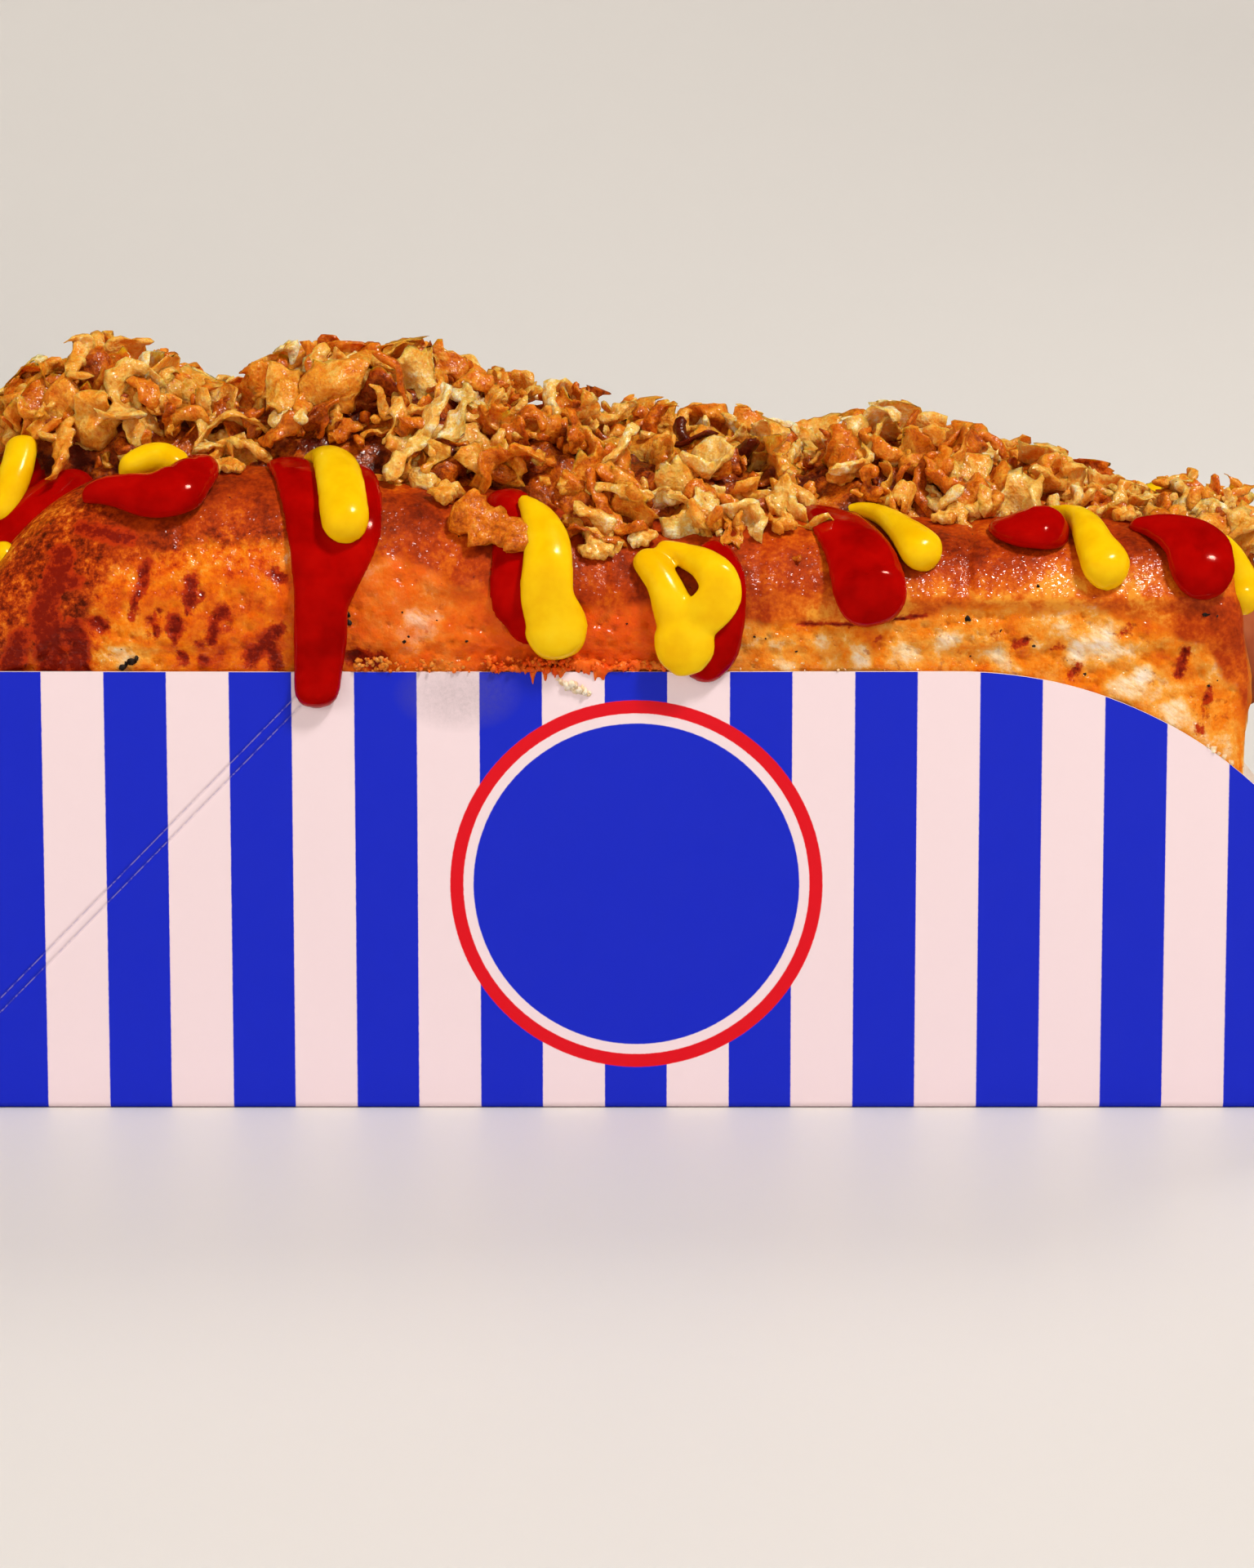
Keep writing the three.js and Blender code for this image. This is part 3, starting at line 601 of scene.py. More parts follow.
# Shallow seams cross the crust where the dough was folded, as (x, depth).
SEAMS = [(36.4, 0.4), (53.5, 0.2), (-5.0, 0.2), (13.0, 0.15), (-52.0, 0.2)]
for seam_x, depth in SEAMS:
    wander = 0.8 * lumps(points, 6, seed=int(seam_x) + 60)
    relief -= crust * depth * ridge(x - seam_x + wander, 0.35)
relief *= np.where(inside_split, 0.5, 1)
moved = points + normals_of(roll_mesh) * relief[:, None]
print("relief from", round(float(relief.min()), 2), "to", round(float(relief.max()), 2), "mm")

# %% Swells of the roll
# The big slow swells of a hand-made roll.
swell = 0.55 * rough(points, 22, 2, seed=51) * smooth((z - 52) / 6)
swell -= 0.5 * smooth((z - 50) / 2) * smooth((60 - z) / 4)
# On the right half the crust juts out over the crumb like a lid, and slopes back evenly from its edge.
lid = np.interp(z, [56.8, 57.2, 58.0, 60.0, 62.0, 65.0], [0.0, 0.15, 0.65, 0.1, 0.3, 0.0])
swell += lid * smooth((x - 19) / 5) * smooth((64 - x) / 5) * (y < 0)
moved += normals_of(roll_mesh) * (swell * ~inside_split)[:, None]
moved[:, 0] += at_right * (0.9 * rough(points, 6, 3, seed=53) - 0.3) - smooth((-77.9 - x) / 0.05) * 1.2
# Inside the case the long faces stay clear of the board.
BREAD_REACH = 25.35
held = (moved[:, 2] < CASE["height"] + 0.4) & (np.abs(moved[:, 1]) > BREAD_REACH)
moved[held, 1] = np.sign(moved[held, 1]) * BREAD_REACH
set_points(roll_mesh, moved)
# The groove joins the scorch marks, so that it is painted dark: painted shade in the recess.
scorch_and_groove_shade = np.maximum(scorch_and_groove_shade, groove)
stored_values = {
    "crust": crust, "toast": toast, "torn": torn, "soak": soak, "scorch_and_groove_shade": scorch_and_groove_shade,
    "juice": juice, "golden_and_painted_light": golden_and_painted_light, "brow": brow, "roasted": roasted,
}
for name, values in stored_values.items():
    put_values(roll_mesh, name, values)
print("stored:", ", ".join(stored_values))

# %% [markdown]
# ### Brioche: egg-washed crust and griddled crumb
# Enriched dough, brushed with egg and baked, then browned in butter. Egg wash gives a thin, hard gloss
# over a mottled brown; butter leaves the crumb golden with scorched streaks; torn crumb stays cream and
# dull. One Principled shader serves all of it, with its colour and roughness mixed by the stored
# numbers. Light goes a few tenths of a millimetre into bread, so it has some subsurface scattering.

# %% What the nodes of the brioche read
brioche, tree = new_material("egg-washed brioche, baked and griddled")
place = add(tree, "TexCoord", output="Object")
mask = {name: add(tree, "Attribute", output="Fac", attribute_name=name) for name in stored_values}


def lumps_of(size_mm, detail=3.0, roughness=0.6):
    """The inputs of noise with lumps of a real size, on the piece's own place in space."""
    return {"Vector": place, "Scale": 1 / (size_mm * MM), "Detail": detail, "Roughness": roughness}


def spread(value, strength):
    """Noise made to swing evenly about zero, with this strength."""
    centred = add(tree, "Math", {0: value, 1: 0.5}, operation="SUBTRACT")
    return add(tree, "Math", {0: centred, 1: strength}, operation="MULTIPLY")


def ragged_mask(value, size_mm, low, high, strength=1.9):
    """A soft stored mask cut by fine noise, so that its edge is crisper than the mesh is fine."""
    noise = spread(add(tree, "TexNoise", lumps_of(size_mm, 4, 0.7)), strength)
    cut = add(tree, "Math", {0: value, 1: noise}, operation="ADD")
    return add(tree, "MapRange", {"Value": cut, "From Min": low, "From Max": high})


# Torn crumb is all fibres, which lean down to the right: the noise is stretched along them.
FIBRE_WAYS = ((0.24, 0, -0.18), (0, 1, 0), (0.6, 0, 0.8))
fibre_axes = {}
for axis, way in enumerate(FIBRE_WAYS):
    fibre_axes[axis] = add(tree, "VectorMath", {0: place, 1: way}, output="Value", operation="DOT_PRODUCT")
fibre = add(tree, "TexNoise", lumps_of(0.6) | {"Vector": add(tree, "CombineXYZ", fibre_axes)})
speckle = add(tree, "TexNoise", lumps_of(0.5, 3, 0.7))
grains = spread(add(tree, "TexNoise", lumps_of(0.9, 3, 0.75)), 2.2)
grains = add(tree, "Math", {0: mask["roasted"], 1: grains}, operation="MULTIPLY")
print(len(mask), "stored values feed the brioche")

# %% Colour of the crust
CRUST_STOPS = [(0.0, "#4E0E01"), (0.3, "#862202"), (0.55, "#B43A03"), (0.8, "#DA660A"), (1.0, "#EC9A2E")]
CRUST_SHADE = 0.42
# The crust is darker the higher it lies, and keeps its own shade at this height in metres.
DARKER_UP = {"height": 0.066, "strength": 8.0}
height = add(tree, "SeparateXYZ", {0: place}, output="Z")
below = add(tree, "Math", {0: DARKER_UP["height"], 1: height}, operation="SUBTRACT")
below = add(tree, "Math", {0: below, 1: DARKER_UP["strength"]}, operation="MULTIPLY")
mottling = spread(add(tree, "TexNoise", lumps_of(8, 4)), 1.5)
fine_mottling = spread(add(tree, "TexNoise", lumps_of(1.6, 3, 0.7)), 0.6)
bake = CRUST_SHADE
# Part of this lift is painted light: the highlight along the brow and the lighter crust between x -44 and
# -18.
for part in (mottling, fine_mottling, spread(speckle, 0.5), mask["golden_and_painted_light"], grains, below):
    bake = add(tree, "Math", {0: bake, 1: part}, operation="ADD")
crust_colour = add(tree, "ValToRGB", {0: bake}, stops=CRUST_STOPS)
print("crust from", CRUST_STOPS[0][1], "to", CRUST_STOPS[-1][1])

# %% Colour of the crumb
CRUMB_STOPS = [
    (0.0, "#FFE8D0"), (0.16, "#FAD29C"), (0.34, "#F4A43A"), (0.52, "#EE800A"), (0.72, "#E05E02"),
    (0.88, "#C23A02"), (1.0, "#8C1801"),
]
browning = spread(add(tree, "TexNoise", lumps_of(2.6, 4, 0.65)), 1.0)
paler_grains = add(tree, "Math", {0: grains, 1: -0.5}, operation="MULTIPLY")
toasted = mask["toast"]
for part in (browning, spread(speckle, 0.35), paler_grains):
    toasted = add(tree, "Math", {0: toasted, 1: part}, operation="ADD")
fluffy = ragged_mask(mask["torn"], 1.3, 0.15, 0.95, 1.3)
browned = add(tree, "Math", {0: fluffy, 1: -0.8, 2: 1.0}, operation="MULTIPLY_ADD")
toasted = add(tree, "Math", {0: toasted, 1: browned}, operation="MULTIPLY")
toasted = add(tree, "Math", {0: fluffy, 1: spread(fibre, 1.1), 2: toasted}, operation="MULTIPLY_ADD")
crumb_colour = add(tree, "ValToRGB", {0: toasted}, stops=CRUMB_STOPS)

blots = add(tree, "TexNoise", lumps_of(1.7))
stain = add(tree, "MapRange", {"Value": blots, "From Min": 0.66, "From Max": 0.72, "To Max": 0.5})
damp = add(tree, "Math", {0: 0.3, 1: add(tree, "TexNoise", lumps_of(1.8, 4))}, operation="ADD")
soaked = add(tree, "Math", {0: mask["soak"], 1: damp}, operation="MULTIPLY", use_clamp=True)
for share, colour in ((stain, "#A93004"), (soaked, "#E6500A")):
    crumb_colour = add(
        tree, "Mix", {0: share, 6: crumb_colour, 7: linear(colour)}, output=2, data_type="RGBA"
    )
print("crumb from", CRUMB_STOPS[0][1], "to", CRUMB_STOPS[-1][1])

# %% Colour of the bread
bread_colour = add(
    tree, "Mix", {0: mask["crust"], 6: crumb_colour, 7: crust_colour}, output=2, data_type="RGBA"
)
# The griddle's marks are red where they are faint and nearly black in their middle. The same colours paint
# the groove under the right crust's edge dark, as painted shade.
faint = ragged_mask(mask["scorch_and_groove_shade"], 0.9, 0.25, 0.6)
strong = ragged_mask(mask["scorch_and_groove_shade"], 0.7, 0.6, 0.95)
for share, colour in ((faint, "#B83004"), (strong, "#7E1002")):
    bread_colour = add(
        tree, "Mix", {0: share, 6: bread_colour, 7: linear(colour)}, output=2, data_type="RGBA"
    )

# %% Gloss and grain of the bread
# The bread itself is soft and dull. The egg wash and the butter on it are one thin clear coat, whose
# own fine pimples break the light of the lamp into sparks: shallow ones on the crust, steep ones on the
# crumb. Noise that makes sparks has no finer layers, since those would blur each spark.
stretched = add(tree, "VectorMath", {0: place, 1: (0.6, 1, 1)}, operation="MULTIPLY")
small = add(tree, "TexNoise", lumps_of(0.42, 1, 0.5) | {"Vector": stretched})
large = add(tree, "TexNoise", lumps_of(1.4, 1))
pimples = add(tree, "Math", {0: large, 1: 0.6, 2: small}, operation="MULTIPLY_ADD")
patchy = add(tree, "Math", {0: 0.5, 1: add(tree, "TexNoise", lumps_of(5, 2))}, operation="ADD")
shallower = add(tree, "Math", {0: mask["crust"], 1: -0.3, 2: 1.0}, operation="MULTIPLY_ADD")
flooded = add(tree, "Math", {0: mask["juice"], 1: -0.7, 2: 1.0}, operation="MULTIPLY_ADD")
for share in (patchy, shallower, flooded):
    pimples = add(tree, "Math", {0: pimples, 1: share}, operation="MULTIPLY")
sparks = add(tree, "Bump", {"Strength": 1.0, "Distance": 0.3 * MM, "Height": pimples})

butter = add(tree, "TexNoise", lumps_of(1.6, 3, 0.7))
on_crumb = add(tree, "MapRange", {"Value": butter, "From Min": 0.4, "From Max": 0.52})
on_crust = add(tree, "Math", {0: mask["brow"], 1: 0.78, 2: 0.22}, operation="MULTIPLY_ADD")
roasted_coat = {0: mask["roasted"], 1: 0.4, 2: on_crust}
on_crust = add(tree, "Math", roasted_coat, operation="MULTIPLY_ADD", use_clamp=True)
wet = add(tree, "Mix", {0: mask["crust"], 2: on_crumb, 3: on_crust}, data_type="FLOAT")
dull = add(tree, "Math", {0: mask["torn"], 1: -0.85, 2: 1.0}, operation="MULTIPLY_ADD")
wet = add(tree, "Math", {0: wet, 1: dull, 2: mask["juice"]}, operation="MULTIPLY_ADD", use_clamp=True)

tufts = add(tree, "Math", {0: fibre, 1: 1.2}, operation="MULTIPLY")
crumb_grain = {0: mask["torn"], 1: tufts, 2: add(tree, "TexNoise", lumps_of(0.9))}
crumb_grain = add(tree, "Math", crumb_grain, operation="MULTIPLY_ADD")
crust_grain = add(tree, "Math", {0: add(tree, "TexNoise", lumps_of(0.7, 2)), 1: 0.3}, operation="MULTIPLY")
grain = add(tree, "Mix", {0: mask["crust"], 2: crumb_grain, 3: crust_grain}, data_type="FLOAT")
bump = add(tree, "Bump", {"Strength": 1.0, "Distance": 0.22 * MM, "Height": grain})
finish_material(
    tree, Base_Color=bread_colour, Roughness=0.55, Normal=bump,
    Specular_IOR_Level=0.2, Specular_Tint=linear("#FFD2A0"),
    Coat_Weight=wet, Coat_Roughness=0.16, Coat_IOR=1.5, Coat_Normal=sparks,
    Subsurface_Weight=0.2, Subsurface_Radius=(1.0, 0.42, 0.12), Subsurface_Scale=1.2 * MM,
)
make_piece(roll_mesh, "roll", "roll", brioche)

# %% [markdown]
# ## The sausage
# A smooth boiled sausage in a thin skin. Only its ends show. It is a loft of rings round a line that
# droops a little, with its ends rounded and drawn into small puckers where the skin was tied.

# %% Sausage
SAUSAGE_GRID = {"rings": 130, "sides": 64}
turn = np.linspace(0, 2 * math.pi, SAUSAGE_GRID["sides"], endpoint=False)[None]
angle = np.linspace(0, math.pi, SAUSAGE_GRID["rings"])[:, None]
half_length = (SAUSAGE["right"] - SAUSAGE["left"]) / 2
# Half a turn from tip to tip, pushed out to the length, packs the rings at the round ends.
run = -np.cos(angle)
reach = SAUSAGE["radius"] * (1 - np.abs(run) ** 9) ** 0.5
ring_x = (SAUSAGE["left"] + SAUSAGE["right"]) / 2 + half_length * run
pucker = 0.35 * np.cos(9 * turn) * ridge(1 - np.abs(run), 0.035) * (reach / SAUSAGE["radius"])
radius = np.maximum(reach - np.abs(pucker), 0.01)
skin = np.stack([
    ring_x + 0 * turn,
    radius * np.cos(turn),
    sausage_axis(ring_x) + radius * np.sin(turn),
], axis=-1).reshape(-1, 3)
skin += 0.12 * rough(skin, 7, 2, seed=71)[:, None] * np.array([0, 1, 1])
sausage_faces = [face[::-1] for face in grid_faces(*SAUSAGE_GRID.values(), closed=True).tolist()]
last = (SAUSAGE_GRID["rings"] - 1) * SAUSAGE_GRID["sides"]
sausage_faces += [list(range(SAUSAGE_GRID["sides"])), list(range(last, len(skin)))[::-1]]
sausage_mesh = make_mesh("boiled_sausage", skin, sausage_faces)

sausage_skin, tree = new_material("boiled sausage in a thin skin")
place = add(tree, "TexCoord", output="Object")
SKIN_STOPS = [(0.25, "#7E3318"), (0.5, "#A5502C"), (0.75, "#BD6C42")]
skin_colour = add(tree, "ValToRGB", {0: add(tree, "TexNoise", lumps_of(9, 4))}, stops=SKIN_STOPS)
wrinkle = add(tree, "TexNoise", lumps_of(0.8))
bump = add(tree, "Bump", {"Strength": 0.3, "Distance": 0.1 * MM, "Height": wrinkle})
finish_material(
    tree, Base_Color=skin_colour, Roughness=0.28, Normal=bump,
    Subsurface_Weight=0.25, Subsurface_Radius=(1.0, 0.35, 0.2), Subsurface_Scale=1.5 * MM,
)
make_piece(sausage_mesh, "sausage", "sausage", sausage_skin)

# %% [markdown]
# ## Ketchup and mustard
# Both were squeezed from bottles in zigzags across the roll, ketchup first and mustard over it. What
# shows of each turn is a rounded finger that runs from the crest down the long face. A curve with a
# bevel gives a tube of one thickness; these fingers swell towards their ends, so each is a tube of
# rings with its own half width at each place. A voxel remesh then melts the fingers of one sauce into
# a single skin, and smoothing gives it the soft edge of something thick and wet.
#
# Each finger is a list of (x, distance down the face from the crest, half width, height), in
# millimetres. Ketchup is thinner than mustard: it spreads flat and fills out only at its lower end.

# %% Where the sauces run
KETCHUP_FRONT = [
    [(-63.6, 6.2, 1.0, 1.4), (-61.4, 6.6, 1.9, 2.2), (-58.6, 7.6, 2.5, 2.8), (-55.4, 8.6, 3.1, 3.4),
     (-52.6, 8.0, 3.5, 3.8), (-51.2, 6.2, 2.9, 3.4)],
    [(-51.6, 7.2, 2.9, 3.4), (-50.3, 4.6, 2.3, 2.8), (-51.0, 2.2, 1.7, 2.0)],
    [(-41.5, -1.2, 2.4, 1.2), (-39.0, 5.0, 2.9, 1.3), (-37.6, 11.0, 2.9, 1.5), (-36.6, 15.8, 3.1, 1.8),
     (-36.3, 19.5, 3.1, 2.5), (-36.3, 23.0, 3.1, 2.7), (-36.6, 26.5, 2.9, 2.3), (-36.8, 29.7, 2.7, 2.4)],
    [(-36.0, -2.0, 3.2, 1.0), (-33.6, 5.0, 3.6, 1.3), (-33.0, 11.0, 3.6, 1.5), (-33.6, 14.4, 3.2, 1.7),
     (-34.6, 17.4, 2.7, 1.8), (-35.4, 20.5, 2.2, 1.8)],
    [(-16.2, 3.0, 2.2, 1.0), (-14.6, 9.0, 3.0, 1.1), (-14.0, 14.0, 3.5, 1.2), (-13.9, 17.8, 3.6, 1.4),
     (-13.0, 20.2, 2.9, 1.5)],
    [(7.0, 9.0, 1.6, 1.0), (8.6, 13.4, 2.4, 1.4), (8.9, 17.6, 2.4, 2.0), (8.0, 21.6, 2.6, 2.4),
     (6.6, 23.2, 2.7, 2.7)],
    [(18.4, -1.2, 1.8, 1.0), (21.0, 4.0, 3.0, 1.2), (23.0, 8.6, 3.7, 1.6), (24.4, 12.8, 4.1, 2.5),
     (24.9, 14.8, 4.2, 3.2)],
    [(39.0, 4.8, 0.8, 0.9), (40.8, 6.4, 2.4, 2.0), (42.8, 7.3, 3.3, 2.9), (44.3, 7.6, 3.4, 3.3)],
    [(54.6, 4.2, 1.0, 1.0), (57.4, 5.2, 2.3, 1.8), (60.0, 7.2, 3.3, 2.7), (61.8, 9.6, 3.8, 3.3),
     (62.1, 11.2, 3.8, 3.5)],
]
MUSTARD_FRONT = [
    [(-59.6, 3.2, 1.0, 2.0), (-58.0, 2.5, 1.5, 2.7), (-56.2, 1.7, 1.8, 3.2), (-54.6, 1.5, 1.9, 3.2),
     (-53.4, 2.2, 1.8, 2.8)],
    [(-39.6, -2.0, 0.7, 1.4), (-36.9, 0.2, 1.6, 1.9), (-35.0, 4.2, 2.5, 2.4), (-34.2, 7.6, 2.7, 2.6),
     (-33.8, 10.2, 2.8, 2.9), (-33.6, 11.2, 2.8, 3.1)],
    [(-14.2, 6.4, 0.5, 1.1), (-12.3, 9.0, 1.9, 2.1), (-11.1, 12.0, 2.6, 2.6), (-11.0, 15.2, 2.9, 2.9),
     (-10.9, 17.6, 3.1, 3.2), (-10.2, 19.8, 3.5, 3.7), (-10.0, 20.9, 3.6, 4.0)],
    [(-1.1, 11.4, 1.4, 2.0), (0.7, 13.0, 1.9, 2.2), (2.0, 15.0, 2.0, 2.5), (3.0, 17.4, 2.5, 3.0),
     (4.1, 19.4, 3.3, 3.6), (4.4, 21.2, 3.4, 4.0)],
    [(0.9, 10.5, 1.0, 1.8), (3.5, 11.2, 1.3, 2.0), (6.0, 12.6, 1.8, 2.3), (7.9, 14.7, 2.3, 2.7),
     (8.2, 16.4, 2.5, 2.9), (6.8, 17.9, 2.6, 3.1), (4.9, 18.8, 3.0, 3.5)],
    [(21.6, -1.6, 0.6, 1.2), (24.6, -0.2, 0.9, 1.5), (27.0, 3.2, 1.3, 1.9), (29.0, 7.4, 1.9, 2.4),
     (30.6, 10.4, 2.6, 3.1)],
    [(45.0, -1.2, 0.6, 1.2), (48.0, 1.6, 1.0, 1.6), (49.6, 6.0, 1.9, 2.2), (50.3, 9.6, 2.3, 2.6),
     (51.2, 12.0, 2.8, 3.3)],
    [(64.6, 2.6, 0.8, 1.3), (66.6, 3.4, 1.5, 2.0), (67.2, 6.2, 2.0, 2.5), (67.2, 8.0, 2.0, 2.8)],
]
KETCHUP_BACK = [
    [(-66.0, -3.0, 2.8, 1.1), (-64.6, 3.0, 3.2, 1.5), (-63.6, 7.6, 3.3, 2.6)],
    [(-38.0, -3.0, 3.0, 1.1), (-35.2, 5.0, 4.0, 1.3), (-33.6, 13.0, 3.8, 1.8), (-33.4, 20.5, 2.9, 2.3)],
    [(-30.4, -2.0, 2.4, 1.0), (-30.2, 5.0, 3.2, 1.4), (-31.6, 10.0, 2.8, 1.8)],
    [(-8.0, -3.0, 3.4, 1.1), (-7.2, 5.0, 4.9, 1.3), (-6.6, 10.0, 4.7, 2.0), (-7.1, 13.5, 4.3, 3.0)],
    [(10.0, -3.0, 2.2, 1.1), (11.6, 2.0, 2.9, 1.5), (12.8, 6.0, 2.9, 2.6)],
    [(27.0, -3.0, 3.0, 1.1), (30.4, 5.0, 4.6, 1.3), (33.2, 12.5, 4.3, 2.0), (34.6, 18.5, 3.7, 3.0)],
    [(52.0, -3.0, 2.6, 1.1), (53.4, 4.0, 3.7, 1.5), (54.0, 11.0, 3.8, 3.0)],
]
MUSTARD_BACK = [
    [(-59.5, -3.0, 1.4, 1.8), (-56.6, 4.0, 1.9, 2.1), (-55.7, 10.5, 2.2, 2.4), (-56.0, 16.5, 2.9, 3.3)],
    [(-30.5, -3.0, 1.4, 1.8), (-27.0, 3.5, 2.1, 2.2), (-25.8, 8.0, 2.9, 3.2)],
    [(-14.5, -3.0, 1.0, 1.5), (-13.5, 2.5, 1.6, 2.0), (-11.8, 6.5, 1.9, 2.6)],
    [(-3.5, -3.0, 1.4, 1.8), (0.5, 4.5, 1.8, 2.1), (2.8, 12.5, 2.3, 2.6), (3.2, 18.5, 3.1, 3.5)],
    [(15.5, -3.0, 1.4, 1.8), (18.1, 3.5, 2.0, 2.1), (19.0, 8.5, 2.6, 3.0)],
    [(36.5, -3.0, 1.4, 1.8), (40.2, 5.0, 2.0, 2.1), (42.4, 12.5, 2.4, 2.6), (42.8, 16.0, 3.0, 3.3)],
    [(59.0, -3.0, 1.3, 1.7), (61.0, 1.5, 1.8, 2.0), (62.0, 4.5, 2.3, 2.7)],
]
FINGER = {"rings": 48, "sides": 20, "sink": 0.5}
FREE_UP = (-0.25, -0.75, 0.6)
SOFT_LIMIT = {"from": 28.0, "most": 1.6}
print(len(KETCHUP_FRONT), "turns of ketchup and", len(MUSTARD_FRONT), "of mustard in front")


# %% Lines and surfaces for the sauces
def through(rows, count):
    """A smooth line of count points through rows of numbers (Catmull-Rom), evenly spread."""
    rows = np.asarray(rows, float)
    rows = np.concatenate([[2 * rows[0] - rows[1]], rows, [2 * rows[-1] - rows[-2]]])
    place = np.linspace(0, len(rows) - 3 - 1e-9, count)
    start = place.astype(int)
    t = (place - start)[:, None]
    before, first, second, after = (rows[start + step] for step in range(4))
    bend = (2 * before - 5 * first + 4 * second - after) * t**2
    curl = (3 * first - before - 3 * second + after) * t**3
    return 0.5 * (2 * first + (second - before) * t + bend + curl)


def surface_of(*meshes):
    """The meshes as one surface that straight lines can be tested against."""
    points, faces = [], []
    for mesh in meshes:
        first = len(points)
        points += points_of(mesh).tolist()
        faces += [[i + first for i in polygon.vertices] for polygon in mesh.polygons]
    return BVHTree.FromPolygons(points, faces)


def settled(surface, spots, outs, reach=12.0):
    """Moves each spot along its outward direction until it lies on the surface or the board."""
    landed = np.array(spots, float)
    for i, (spot, out) in enumerate(zip(spots, outs)):
        hit = surface.ray_cast(Vector(spot) + Vector(out) * reach, -Vector(out), 2 * reach)[0]
        if hit is not None:
            landed[i] = hit
    board = CASE["width"] / 2 + 0.35
    low = (landed[:, 2] < CASE["height"] + 0.6) & (np.abs(landed[:, 1]) < board)
    landed[low, 1] = np.sign(landed[low, 1]) * board
    return landed


# %% A finger of sauce
def finger(centres, outs, halves, heights):
    """A closed tube that lies on its centre line, its two ends rounded."""
    ahead = np.gradient(centres, axis=0)
    step = np.linalg.norm(ahead, axis=1)
    ahead = ahead / step[:, None]
    passed = np.concatenate([[0], np.cumsum((step[1:] + step[:-1]) / 2)])
    outs = outs - ahead * np.sum(outs * ahead, axis=1, keepdims=True)
    outs /= np.linalg.norm(outs, axis=1, keepdims=True)
    across = np.cross(outs, ahead)
    closing = np.clip((passed[-1] - passed) / halves[-1], 0, 1)
    opening = np.clip(passed / halves[0], 0, 1)
    full = (np.sqrt(1 - (1 - closing) ** 2) * np.sqrt(1 - (1 - opening) ** 2))[:, None]
    wide = np.maximum(halves[:, None] * full, 0.02)
    tall = np.maximum((heights[:, None] + FINGER["sink"]) / 2 * full, 0.02)
    middle = centres + outs * (heights[:, None] - FINGER["sink"]) / 2 * full
    angle = np.linspace(0, 2 * math.pi, FINGER["sides"], endpoint=False)[None, :, None]
    ring = middle[:, None] + across[:, None] * wide[:, None] * np.cos(angle)
    return (ring + outs[:, None] * tall[:, None] * np.sin(angle)).reshape(-1, 3)


def face_finger(places, side, surface):
    """A finger of sauce on the roll's face. Its last place is the middle of its round end."""
    rows = np.array(places, float)
    way = rows[-1, :2] - rows[-2, :2]
    end = [*(rows[-1, :2] + way / np.linalg.norm(way) * rows[-1, 2]), *rows[-1, 2:]]
    line = through(np.concatenate([rows, [end]]), FINGER["rings"])
    spots, outs = (np.array(rows) for rows in zip(*[face_point(row[0], row[1], side) for row in line]))
    raised = np.sum((settled(surface, spots, outs) - spots) * outs, axis=1)
    soft = np.convolve(np.pad(raised, 4, mode="edge"), np.ones(9) / 9, mode="valid")
    return finger(spots + outs * soft[:, None], outs, line[:, 2], line[:, 3])


def free_finger(places):
    """A finger along points in space, as (x, y, z, half width, height), with its flat side down."""
    line = through(places, FINGER["rings"])
    up = np.tile(FREE_UP, (len(line), 1))
    return finger(line[:, :3], up, line[:, 3], line[:, 4])


# %% Melting the fingers together
def melted(name, fingers, voxel, rounds, seed):
    """One smooth skin round all the fingers of a sauce."""
    ring_faces = grid_faces(FINGER["rings"], FINGER["sides"], closed=True)
    ends = [list(range(FINGER["sides"]))[::-1]]
    ends += [list(range((FINGER["rings"] - 1) * FINGER["sides"], FINGER["rings"] * FINGER["sides"]))]
    faces, points = [], []
    for tube in fingers:
        first = len(points) * FINGER["rings"] * FINGER["sides"]
        faces += (ring_faces + first).tolist() + [[i + first for i in end] for end in ends]
        points.append(tube)
    mesh = make_mesh(name, np.concatenate(points), faces)
    helper = bpy.data.objects.new(name + "_helper", mesh)
    bpy.context.scene.collection.objects.link(helper)
    remesh = helper.modifiers.new("melt", "REMESH")
    remesh.mode = "VOXEL"
    remesh.voxel_size = voxel * MM
    relax = helper.modifiers.new("relax", "SMOOTH")
    relax.factor = 0.5
    relax.iterations = rounds
    bpy.context.view_layer.update()
    evaluated = helper.evaluated_get(bpy.context.evaluated_depsgraph_get())
    skin = bpy.data.meshes.new_from_object(evaluated)
    bpy.data.objects.remove(helper)
    bpy.data.meshes.remove(mesh)
    skin.name = name
    skin.shade_smooth()
    points = points_of(skin)
    points = points + normals_of(skin) * (0.12 * rough(points, 3.5, 2, seed=seed))[:, None]
    # What hangs in front of the case lies against the board.
    board = CASE["width"] / 2 + 0.02
    hangs = (points[:, 2] < CASE["height"]) & (np.abs(points[:, 1]) < board)
    hangs &= np.abs(points[:, 1]) > ROLL["half_width"] - 4
    points[hangs, 1] = np.sign(points[hangs, 1]) * board
    # The thickest drops are pressed in softly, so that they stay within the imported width.
    over = np.clip(np.abs(points[:, 1]) - SOFT_LIMIT["from"], 0, None)
    soft = SOFT_LIMIT["most"] * (1 - np.exp(-over / SOFT_LIMIT["most"]))
    points[:, 1] = np.sign(points[:, 1]) * (np.abs(points[:, 1]) - over + soft)
    set_points(skin, points)
    return skin


